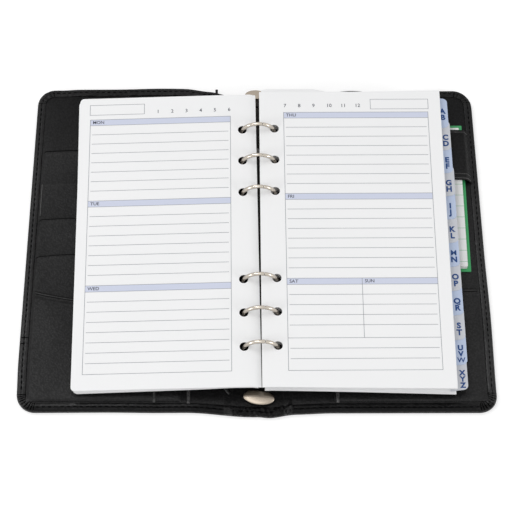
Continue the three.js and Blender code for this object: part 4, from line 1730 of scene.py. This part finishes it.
@dataclass
class Mechanism:
    """The six rings, the casing they stand in and its two levers; pairs are head, foot."""

    radius: float = 8.8
    wire: float = 1.0
    centre: float = 13.6
    joint: float = 2.0
    gap: float = 0.14
    leg_turn: float = -45.0
    leg_foot: Pair = (4.9, 5.75)
    lever_root: Pair = (88.4, 83.3)
    lever_wide: Pair = (90.6, 86.4)
    lever_tip: Pair = (93.9, 90.3)
    lever_half: Pair = (5.7, 7.8)
    lever_under: float = 4.8
    lever_plate: float = 0.6
    lever_dome: float = 0.8
    lever_rise: Pair = (0.4, -0.6)
    lever_lift: Pair = (1.9, 0.6)
    lever_shift: float = -1.3
    lever_turn: float = 6.0
    neck_half: float = 3.5
    neck_start: float = 78.4
    step_start: float = 84.0
    pin_place: float = 80.8
    pin_length: float = 12.6

    def half_ring(self, name: str, sign: int, tip_x: float) -> Piece:
        """One half ring at the middle, swept round its centre from the leg to the tip.

        Args:
            name: the piece's name.
            sign: 1 for the right half and -1 for the left.
            tip_x: how far along X its tip ends, on its own side counted positive.

        Returns:
            The bent wire.
        """
        obj = Bench.added(
            name, bpy.ops.mesh.primitive_circle_add, vertices=16, radius=self.wire * MM,
            location=(self.radius * MM, 0, 0),
        )
        obj.data.transform(Matrix.Rotation(math.radians(-self.leg_turn), 4, "Y"))
        obj.data.transform(Matrix.Translation((0, 0, self.centre * MM)))
        sweep = math.degrees(math.acos(tip_x / self.radius)) - self.leg_turn
        start = math.radians(self.leg_turn)
        foot = Vector((self.leg_foot[0], 0, self.leg_foot[1]))
        root = Vector(
            (self.radius * math.cos(start), 0, self.centre + self.radius * math.sin(start))
        )
        tangent = Vector((math.sin(start), 0, -math.cos(start)))
        with Bench.editing(obj):
            bpy.ops.mesh.spin(
                steps=34, angle=math.radians(sweep), center=(0, 0, self.centre * MM),
                axis=(0, 1, 0),
            )
            Bench.pick(
                obj, Pick.VERTS, lambda m, n: abs((m - root).dot(tangent)) < 0.02 and m.z < 9
            )
            move = {"value": (foot - root) * MM}
            bpy.ops.mesh.extrude_region_move(TRANSFORM_OT_translate=move)
        Bench.outward(obj)
        with Bench.editing(obj):
            bpy.ops.mesh.select_mode(type="EDGE")
            bpy.ops.mesh.select_all(action="DESELECT")
            bpy.ops.mesh.select_non_manifold()
            bpy.ops.mesh.edge_face_add()
            bpy.ops.mesh.select_mode(type="FACE")
        Bench.outward(obj)
        if sign < 0:
            Bench.mirrored(obj, 0)
        return Bench.smooth(Bench.softened(obj, 0.22, 3), 50)

    def lever(self, name: str, sign: int) -> tuple[Piece, Piece]:
        """A domed half-moon tab on a neck, with the pin it turns on.

        Args:
            name: the piece's name.
            sign: 1 at the head and -1 at the foot.

        Returns:
            The tab, and the neck with its pin.
        """
        end = 0 if sign > 0 else 1
        wide, root, half = self.lever_wide[end], self.lever_root[end], self.lever_half[end]
        front, back = self.lever_tip[end] - wide, wide - root
        tab = Bench.added(
            name, bpy.ops.mesh.primitive_uv_sphere_add, segments=64, ring_count=24, radius=MM
        )

        def domed(p: Vector) -> Vector:
            y = p.y * (front if p.y > 0 else back * 1.25)
            return Vector((p.x * half, y, p.z * self.lever_dome))

        Bench.shape(tab, domed)
        bottom = -self.lever_plate
        with Bench.editing(tab):
            Bench.slice((0, 0, 0), (0, 0, 1), cut=True)
            Bench.slice((0, -back, 0), (0, 1, 0), cut=True)
            Bench.pick(tab, Pick.FACES, lambda m, n: n.z < -0.9)
            move = {"value": (0, 0, bottom * MM)}
            bpy.ops.mesh.extrude_region_move(TRANSFORM_OT_translate=move)
            Bench.bevel(tab, lambda m, d: abs(d.z) < 0.1 and m.z < bottom + 0.01, 0.15, 2)
        under = self.lever_under + self.lever_plate + self.lever_lift[end]
        slant = math.tan(math.radians(self.lever_turn)) if sign < 0 else 0.0

        def raised(p: Vector) -> Vector:
            rise = self.lever_rise[end] * eased((p.y + back) / (front + back))
            return Vector((p.x + self.lever_shift, p.y + wide + slant * p.x, p.z + under + rise))

        Bench.shape(tab, raised)
        under = self.lever_under
        neck = Bench.slab(
            f"{name}_neck", (-self.neck_half, self.neck_start, under),
            (self.neck_half, root + 1.2, under + 0.8),
        )
        top = under + 0.85 + max(0.0, self.lever_lift[end] - 0.7)
        step = Bench.slab(
            f"{name}_step", (0.1 - self.neck_half, self.step_start, under + 0.1),
            (self.neck_half - 0.1, root + 1.1, top),
        )
        pin = Bench.added(
            f"{name}_pin", bpy.ops.mesh.primitive_cylinder_add, vertices=20, radius=0.5 * MM,
            depth=self.pin_length * MM, rotation=(0, math.pi / 2, 0),
            location=(0, self.pin_place * MM, (under + 0.4) * MM),
        )
        small = [Bench.rounded(piece, every, 0.12, 1) for piece in (neck, step, pin)]
        neck = Bench.joined(f"{name}_neck", small)
        for obj in (tab, neck):
            if sign < 0:
                Bench.mirrored(obj, 1)
            Bench.smooth(obj, 42)
        return tab, neck

    def build(self) -> None:
        """Builds the rings and levers and dresses the casing."""
        for word, sign in (("left", -1), ("right", 1)):
            tip = sign * self.joint + self.gap
            first = self.half_ring(f"{word}_half_ring", sign, tip)
            for index, y in enumerate(RING_PLACES):
                ring = Bench.copy(first, f"{word}_half_ring_{index + 1}", (0, y, 0))
                hang(ring, NICKEL, f"{word}_ring_bar", f"{word}_ring_{index + 1}")
            bpy.data.objects.remove(first)
        for word, sign in (("head", 1), ("foot", -1)):
            lever, neck = self.lever(f"{word}_release", sign)
            hang(lever, DULL_NICKEL, f"{word}_lever", f"{word}_lever")
            # painted shade: the nickel neck takes the near-black casing finish, standing for the
            # shade in the gutter under the pages
            hang(neck, CASING, f"{word}_lever")
            STEEL.on(frame["nodes"][f"{word}_rivet"])
        CASING.on(frame["nodes"]["ring_casing"])
        STEEL.on(frame["nodes"]["left_carrier"], frame["nodes"]["right_carrier"])


# ------------------------------------------------------------------- pages


@dataclass
class Pages:
    """The page blocks on both sides of the rings, and the index leaves with their tabs."""

    width: float = 95.0
    half: float = 85.5
    gutter: float = 0.9
    tuck: float = 1.9
    hole_x: float = 9.3
    hole: float = 3.1
    seen_hole_x: float = 8.45
    seen_hole: float = 2.4
    bend_rows: tuple[float, ...] = (
        1.6, 2.4, 3.4, 4.6, 13.0, 17.0, 22.0, 30.0, 36.0, 49.0, 60.0, 70.0, 82.0,
    )
    left_top: float = 17.0
    slope: float = 2.7
    right_top: float = 17.6
    rear_top: float = 11.95
    index_top: float = 14.8
    index_step: float = 0.225
    leaf: float = 0.3
    inner_leaf: float = 0.26
    index_leaf: float = 0.2
    left_block_height: float = 3.5
    right_block_height: float = 2.1
    tab_reach: float = 7.0
    tab_height: float = 19.9
    tab_start: float = 84.7
    tab_end: float = -86.9
    tab_slant: float = 0.13
    tab_shifts: tuple[float, ...] = (
        -0.6, 0.0, 0.0, 0.5, 0.2, 0.2, 0.1, 0.2, 0.2, 0.3, 0.3, -0.2,
    )
    droop: float = 1.6
    index_turn: float = 0.5
    left_width: float = 94.3
    right_width: float = 96.4
    right_foot: Pair = (0.6, 2.0)
    stack_foot: float = 2.1
    head_bulge: float = 2.5
    left_turn: float = 0.75
    left_corner: float = 2.0
    roll: Pair = (1.2, 0.45)
    labels: tuple[str, ...] = (
        "AB", "CD", "EF", "GH", "IJ", "KL", "MN", "OP", "QR", "ST", "UVW", "XYZ",
    )
    block_pitch: float = 49.65
    band: float = 3.8
    rules: int = 7
    frames: tuple[Rect, Rect] = ((-89.7, -14.7, -76.9, 72.3), (13.4, 90.6, -77.4, 73.7))
    boxes: tuple[Rect, Rect] = ((-90.0, -60.7, 75.0, 81.4), (59.8, 90.9, 75.4, 81.7))
    notes: float = -59.5
    split: float = 51.8
    rule_inset: float = 1.2
    print_lift: float = 0.03
    fine: float = 0.25
    month_pitch: float = 7.6

    def blank(
        self, name: str, sign: int, thickness: float, corner: float, width: float,
        seen: bool = False,
    ) -> Piece:
        """One punched leaf whose top is at zero height.

        Args:
            name: the piece's name.
            sign: 1 for the right-hand side and -1 for the left.
            thickness: how thick the leaf is.
            corner: radius of its two outer corners.
            width: its width.
            seen: whether it lies on top, where the ring pulls its holes to the gutter.

        Returns:
            The leaf.
        """
        inner = sign * (self.gutter if seen else self.tuck)
        outer = sign * (self.gutter + width)
        low, high = sorted((inner, outer))
        obj = Bench.slab(name, (low, -self.half, -thickness), (high, self.half, 0))
        if corner > 0:
            Bench.rounded(obj, corners(outer), corner, 8)
        place = self.seen_hole_x if seen else self.hole_x
        radius = self.seen_hole if seen else self.hole
        cutters = [
            Bench.added(
                "punch", bpy.ops.mesh.primitive_cylinder_add, vertices=28, radius=radius * MM,
                depth=10 * MM, location=(sign * place * MM, y * MM, 0),
            )
            for y in RING_PLACES
        ]
        punch = Bench.joined("punch", cutters)
        Bench.modify(obj, "BOOLEAN", operation="DIFFERENCE", object=punch, solver="EXACT")
        bpy.data.objects.remove(punch)
        Bench.slices(obj, 0, [sign * x for x in self.bend_rows])
        return Bench.shape(obj, self.eased_leaf)

    def eased_leaf(self, point: Vector) -> Vector:
        """Lets a leaf roll down at the gutter, the left-hand ones more."""
        near = abs(point.x) - self.gutter
        return moved(point, z=-self.roll[0 if point.x < 0 else 1] * eased(1 - near / 5.0))

    def gutter_edge(self, point: Vector) -> Vector:
        """Draws the inner edge of a top leaf to the line it has between the rings."""
        near = eased(1 - (abs(point.x) - self.gutter) / 4.0)
        drift = 0.13 - 0.0085 * point.y if point.x < 0 else 0.0018 * point.y - 0.45
        return moved(point, x=drift * near)

    def lengthened(self, point: Vector) -> Vector:
        """Lets the top right leaf reach a little past the ones under it."""
        share = point.x / self.width
        arch = 1.2 - 0.3 * bump(point.x, 49, 22) + 0.5 * ramp(point.x, 65, 30)
        out = moved(point, y=arch * ramp(point.y, 80, 5))
        out.y -= mixed(*self.right_foot, share) * ramp(-point.y, 80, 5)
        return out

    def drooped(self, point: Vector, share: float) -> Vector:
        """Lets the outer side of a right-hand leaf hang down a little."""
        return moved(point, z=-self.droop * share * (max(point.x - 20, 0) / 76) ** 1.6)

    def spread_foot(self, point: Vector) -> Vector:
        """Fans the foot of the right-hand leaves out towards their outer corner."""
        out = moved(
            point, x=1.2 * ramp(point.x, 70, 24) * ramp(-point.y, 60, 25),
            y=-self.stack_foot * point.x / self.width * ramp(-point.y, 78, 7),
        )
        out.y += self.head_bulge * ramp(-out.x, -40, 9) * ramp(out.y, 78, 7)
        return out

    @staticmethod
    def swung(point: Vector, degrees: float) -> Vector:
        """Turns the outer part of a leaf a little, while its punched edge stays in the rings."""
        angle = math.radians(degrees) * eased((abs(point.x) - 12) / 20)
        return moved(point, x=-angle * point.y, y=angle * point.x)

    def tilted(self, obj: Piece) -> Piece:
        """Lays a left-hand piece on the slope of the left block."""
        pivot = Matrix.Translation((0, 0, self.left_top * MM))
        obj.data.transform(pivot @ Matrix.Rotation(math.radians(-self.slope), 4, "Y"))
        return obj

    def stack(
        self, name: str, leaf: Piece, heights: Sequence[float], seed: int,
        reach: float = 0.22, lean: float = 0.0, turn: float = 0.0,
    ) -> Piece:
        """Copies a leaf into a block of leaves that don't quite line up.

        Args:
            name: the block's name.
            leaf: the leaf to copy.
            heights: the height of each copy's top.
            seed: which irregular row of numbers is used.
            reach: how far leaves may be out of line.
            lean: how far the lowest leaf reaches past the head.
            turn: how far the outer part of the lowest leaf is turned, in degrees.

        Returns:
            The block as one object.
        """
        copies = []
        for index, height in enumerate(heights):
            share = (index + 1) / len(heights)
            dx = reach * scatter(index, seed)
            dy = reach * scatter(index, seed + 5) + lean * share
            copy = Bench.copy(leaf, f"{name}_{index}", (dx, dy, height))
            if turn:
                Bench.shape(copy, lambda p, angle=turn * share: self.swung(p, angle))
            copies.append(copy)
        return Bench.joined(name, copies)

    def heights(self, first: float, depth: float, count: int) -> list[float]:
        """Even heights for the tops of leaves that fill a block."""
        return [first - index * (depth - self.inner_leaf) / (count - 1) for index in range(count)]

    def layout(self, rect: Rect, box: Rect, week_end: bool) -> tuple[list[Rect], list[Rect]]:
        """Works out the tinted bands and the rules of one printed page.

        Args:
            rect: left, right, foot and head of the printed frame.
            box: the small box at the page's head.
            week_end: whether the last block is split and followed by a notes block.

        Returns:
            Rectangles for the bands and for the rules.
        """
        left, right, foot, head = rect
        thin, inset = self.fine, self.rule_inset
        bands, rules = [], []
        pitch = (self.block_pitch - self.band) / (self.rules + 1)

        def ruled(top: float, count: int) -> None:
            for line in range(1, count + 1):
                y = top - line * pitch
                if y > foot + 2:
                    rules.append((left + inset, right - inset, y, y + thin))

        for block in range(3):
            top = head - block * self.block_pitch
            bands.append((left, right, top - self.band, top))
            rules.append((left, right, top - thin, top))
            rules.append((left, right, top - self.band, top - self.band + thin))
            ruled(top - self.band, 4 if week_end and block == 2 else self.rules)
        if week_end:
            rules.append((left, right, self.notes, self.notes + thin))
            ruled(self.notes, 2)
            last = head - 2 * self.block_pitch
            rules.append((self.split, self.split + thin, self.notes, last))
        rules.append((left, right, foot, foot + thin))
        rules.append((left, left + thin, foot, head))
        rules.append((right - thin, right, foot, head))
        x0, x1, y0, y1 = box
        rules += [
            (x0, x1, y0, y0 + thin), (x0, x1, y1 - thin, y1),
            (x0, x0 + thin, y0, y1), (x1 - thin, x1, y0, y1),
        ]
        return bands, rules

    def printed(self, side: str, top: float) -> list[tuple[Piece, Finish]]:
        """The tinted bands, rules, day names and month numbers of one page.

        Args:
            side: left or right.
            top: height of the paper.

        Returns:
            The printed pieces, each with its finish.
        """
        left = side == "left"
        rect, box = self.frames[0 if left else 1], self.boxes[0 if left else 1]
        bands, rules = self.layout(rect, box, not left)
        z = top + self.print_lift * 1.4
        start, head = rect[0] + 1.4, rect[3]
        days = [(day, start, block) for block, day in enumerate(
            ("MON", "TUE", "WED") if left else ("THU", "FRI", "SAT")
        )]
        if not left:
            days.append(("SUN", 53.2, 2))
        tints = Bench.strips(f"{side}_bands", bands, top + self.print_lift * 0.6)
        lines = Bench.strips(f"{side}_rules", rules, top + self.print_lift)
        words = [
            Bench.words(day, (x, head - block * self.block_pitch - self.band / 2, z), 1.8, 0.03)
            for day, x, block in days
        ]
        start, first = (-54.2, 1) if left else (13.6, 7)
        for month in range(6):
            at = (start + month * self.month_pitch, head + 4.0, z)
            words.append(Bench.words(str(first + month), at, 2.0, 0.02))
        text = Bench.joined(f"{side}_words", words)
        return [(tints, BAND_TINT), (lines, GREY_INK), (text, WORD_INK)]

    def left_block(self) -> None:
        """The left-hand pages: a printed top leaf and the leaves under it."""
        corner, width = self.left_corner, self.left_width
        leaf = self.blank("left_top", -1, self.leaf, corner, width, True)
        under = self.blank("left_under", -1, self.inner_leaf, corner, width)
        Bench.shape(leaf, self.gutter_edge)
        heights = self.heights(-0.4, self.left_block_height, 12)
        block = self.stack("left_block", under, heights, 3, 0.12, 1.3, self.left_turn)
        bpy.data.objects.remove(under)
        for piece, ink in self.printed("left", 0.0):
            hang(self.tilted(piece), ink, "left_pages")
        for piece, node in ((leaf, "left_top_leaf"), (block, "left_leaves")):
            hang(self.tilted(piece), PAGE_PAPER, "left_pages", node)
            Bench.smooth(piece)

    def right_block(self) -> None:
        """The right-hand pages: the leaf that turns, the leaves under it and the rear leaves."""
        top = self.blank("right_top", 1, self.leaf, 0.0, self.right_width, True)
        under = self.blank("right_under", 1, self.inner_leaf, 0.0, self.width)
        Bench.shape(top, lambda p: self.gutter_edge(self.lengthened(p)))
        Bench.shape(under, self.spread_foot)
        leaf = Bench.copy(top, "turning_page", (0, 0, self.right_top))
        heights = self.heights(self.right_top - 0.6, self.right_block_height, 7)
        block = self.stack("right_block", under, heights, 7, lean=1.6)
        heights = [self.rear_top - index * 0.31 for index in range(4)]
        rear = self.stack("rear_block", under, heights, 11, lean=0.75)
        first, last = self.right_top - 0.5, self.right_top - 2.8
        Bench.shape(block, lambda p: self.drooped(p, (first - p.z) / (first - last)))
        Bench.shape(rear, lambda p: self.drooped(p, 1.0))
        for spare in (top, under):
            bpy.data.objects.remove(spare)
        for piece, ink in self.printed("right", self.right_top):
            hang(piece, ink, "turning_leaf")
        for piece, body, node in (
            (leaf, "turning_leaf", "right_top_leaf"), (block, "right_pages", "right_leaves"),
            (rear, "rear_pages", "rear_leaves"),
        ):
            hang(Bench.smooth(piece), PAGE_PAPER, body, node)

    def index_tab(self, edge: float) -> Piece:
        """One tab, level with the middle of the page, beyond a leaf's outer edge.

        Args:
            edge: the leaf's outer edge.

        Returns:
            The tab.
        """
        half, reach = self.tab_height / 2, self.tab_reach
        low, high = (edge - 2.0, -half, -self.index_leaf), (edge + reach, half, 0)
        tab = Bench.slab("index_tab", low, high)
        end = edge + reach - 0.1
        Bench.rounded(tab, lambda m, d: upright(m, d) and m.x > end, 2.2, 6)

        def narrowed(p: Vector) -> Vector:
            return Vector((p.x, p.y * (1 - self.tab_slant * max(p.x - edge, 0) / reach), p.z))

        return Bench.shape(tab, narrowed)

    def index_leaves(self) -> None:
        """The twelve index leaves, modelled once and copied, each tab one step lower."""
        sheet = self.blank("index_sheet", 1, self.index_leaf, 0.0, self.width)
        PAGE_PAPER.on(sheet)
        height, edge = self.tab_height, self.gutter + self.width
        pitch = (self.tab_start - self.tab_end - height) / (len(self.labels) - 1)
        tab = self.index_tab(edge)
        for index, label in enumerate(self.labels):
            z = self.index_top - index * self.index_step
            y = self.tab_start - height / 2 - index * pitch
            leaf = Bench.copy(sheet, "leaf_copy", (0, 0, z))
            flag = Bench.copy(tab, "tab_copy", (self.tab_shifts[index], y, z))
            tint, slot = ((BLUE_TAB, "blue_tab"), (GREY_TAB, "grey_tab"))[index % 2]
            tint.on(flag)
            divider = Bench.joined(f"index_{label.lower()}", [leaf, flag])
            shown, down, shift = (pitch, 0.3, 0.75) if index else (height, 1.0, 0.1)
            middle = y - height / 2 + shown / 2 - down
            letters = self.tab_letters(
                label, (edge + self.tab_reach / 2 + shift, middle, z + 0.04)
            )
            for piece in (divider, letters):
                Bench.shape(piece, lambda p: self.swung(self.drooped(p, 1.0), self.index_turn))
            hang(divider, None, "index_pages", f"index_leaf_{label.lower()}")
            hang(letters, NAVY_INK, "index_pages")
        for spare in (sheet, tab):
            bpy.data.objects.remove(spare)

    def tab_letters(self, label: str, at: Point) -> Piece:
        """The letters of one tab, one above the other.

        Args:
            label: its letters.
            at: the middle of the tab.

        Returns:
            The letters as one object.
        """
        x, y, z = at
        step, height = (3.85, 3.0) if len(label) == 2 else (3.4, 2.65)
        first = y + step * (len(label) - 1) / 2
        bold = {"M": 0.06, "W": 0.08}
        letters = [
            Bench.words(
                letter, (x, first - index * step, z), height, bold.get(letter, 0.2), True
            )
            for index, letter in enumerate(label)
        ]
        return Bench.joined(f"letters_{label.lower()}", letters)

    def build(self) -> None:
        """Builds all pages."""
        self.left_block()
        self.right_block()
        self.index_leaves()


# ------------------------------------------------------------------ studio


@dataclass
class Studio:
    """Floor, light and camera; lamps are given as place, size and power, in metres."""

    place: Point = (-15.83, -489.54, 924.11)
    pitch: float = 62.25
    yaw: float = 1.654
    roll: float = 1.19
    focal: float = 1998.2
    pixels: int = 512
    sensor: float = 36.0
    lamps: tuple[tuple[str, Point, float, float], ...] = (
        ("key", (-0.35, -0.45, 1.5), 0.8, 2.6), ("top", (-0.45, 0.18, 1.36), 0.3, 2.3),
        ("side", (-0.68, 0.48, 1.1), 0.2, 1.5), ("left", (-1.0, -0.55, 0.52), 0.35, 3.0),
        ("right", (1.0, -0.55, 0.52), 0.35, 3.0),
    )
    floor_tones: Pair = (0.60, 0.62)
    floor_glow: float = 0.5
    surround: float = 0.60

    def camera(self) -> None:
        """Sets the camera where the photographer stood."""
        pitch, yaw, roll = (math.radians(a) for a in (self.pitch, self.yaw, self.roll))
        ahead = Vector(
            (math.sin(yaw) * math.cos(pitch), math.cos(yaw) * math.cos(pitch), -math.sin(pitch))
        )
        flat = Vector((math.cos(yaw), -math.sin(yaw), 0))
        up = flat.cross(ahead)
        right = flat * math.cos(roll) + up * math.sin(roll)
        above = up * math.cos(roll) - flat * math.sin(roll)
        data = bpy.data.cameras.new("camera")
        data.sensor_width = self.sensor
        data.lens = self.focal * self.sensor / self.pixels
        data.clip_start = 0.01
        obj = bpy.data.objects.new("camera", data)
        bpy.context.scene.collection.objects.link(obj)
        turn = Matrix((right, above, -ahead)).transposed().to_4x4()
        obj.matrix_world = Matrix.Translation(Vector(self.place) * MM) @ turn
        bpy.context.scene.camera = obj

    def lamp(self, name: str, at: Point, size: float, power: float) -> None:
        """Adds a soft square lamp that faces the object.

        Args:
            name: its name.
            at: its place.
            size: its width.
            power: its strength.
        """
        data = bpy.data.lights.new(name, "AREA")
        data.size = size
        data.energy = power
        obj = bpy.data.objects.new(name, data)
        obj.location = at
        obj.rotation_euler = Vector(at).to_track_quat("Z", "Y").to_euler()
        bpy.context.scene.collection.objects.link(obj)

    def world(self) -> None:
        """A white surround that lights softly and shows as plain white."""
        world = bpy.data.worlds.new("surround")
        world.use_nodes = True
        bpy.context.scene.world = world
        graph = Graph(world.node_tree)
        background = world.node_tree.nodes["Background"]
        background.inputs[0].default_value = (1, 1, 1, 1)
        graph.feed(background, {1: graph.spread(graph.seen(), self.surround, 1.0)})

    def floor(self) -> None:
        """A pale floor that goes to white but keeps the object's shadow."""
        plane = bpy.ops.mesh.primitive_plane_add
        obj = Bench.added("floor", plane, size=6, location=(0, 0, -0.0003))
        made = bpy.data.materials.new("pale_floor")
        made.use_nodes = True
        graph = Graph(made.node_tree)
        shader = made.node_tree.nodes["Principled BSDF"]
        place = graph.node("ShaderNodeTexCoord").outputs["Object"]
        cloud = graph.node("ShaderNodeTexNoise", {"Vector": place, "Scale": 3.0}).outputs[0]
        dark, light = ((tone, tone, tone, 1) for tone in self.floor_tones)
        graph.feed(shader, {"Base Color": graph.blend(cloud, dark, light)})
        shader.inputs["Roughness"].default_value = 0.9
        shader.inputs["Specular IOR Level"].default_value = 0.1
        strength = graph.spread(graph.seen(), 0.0, self.floor_glow)
        glow = graph.node("ShaderNodeEmission", {"Color": (1, 1, 1, 1), "Strength": strength})
        both = graph.node("ShaderNodeAddShader", {0: shader.outputs[0], 1: glow.outputs[0]})
        graph.feed(made.node_tree.nodes["Material Output"], {0: both.outputs[0]})
        obj.data.materials.append(made)

    def build(self) -> None:
        """Sets up the whole studio."""
        bpy.context.scene.view_settings.view_transform = "Standard"
        self.camera()
        self.world()
        for lamp in self.lamps:
            self.lamp(*lamp)
        self.floor()
        LOG.info("studio")


def main() -> None:
    """Builds everything in order."""
    logging.basicConfig(level=logging.INFO, format="%(name)s: %(message)s")
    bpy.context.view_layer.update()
    Studio().build()
    cover = Cover()
    cover.build()
    Pockets(cover).build()
    Notepad(cover).build()
    Mechanism().build()
    Pages().build()


if __name__ == "__main__":
    main()
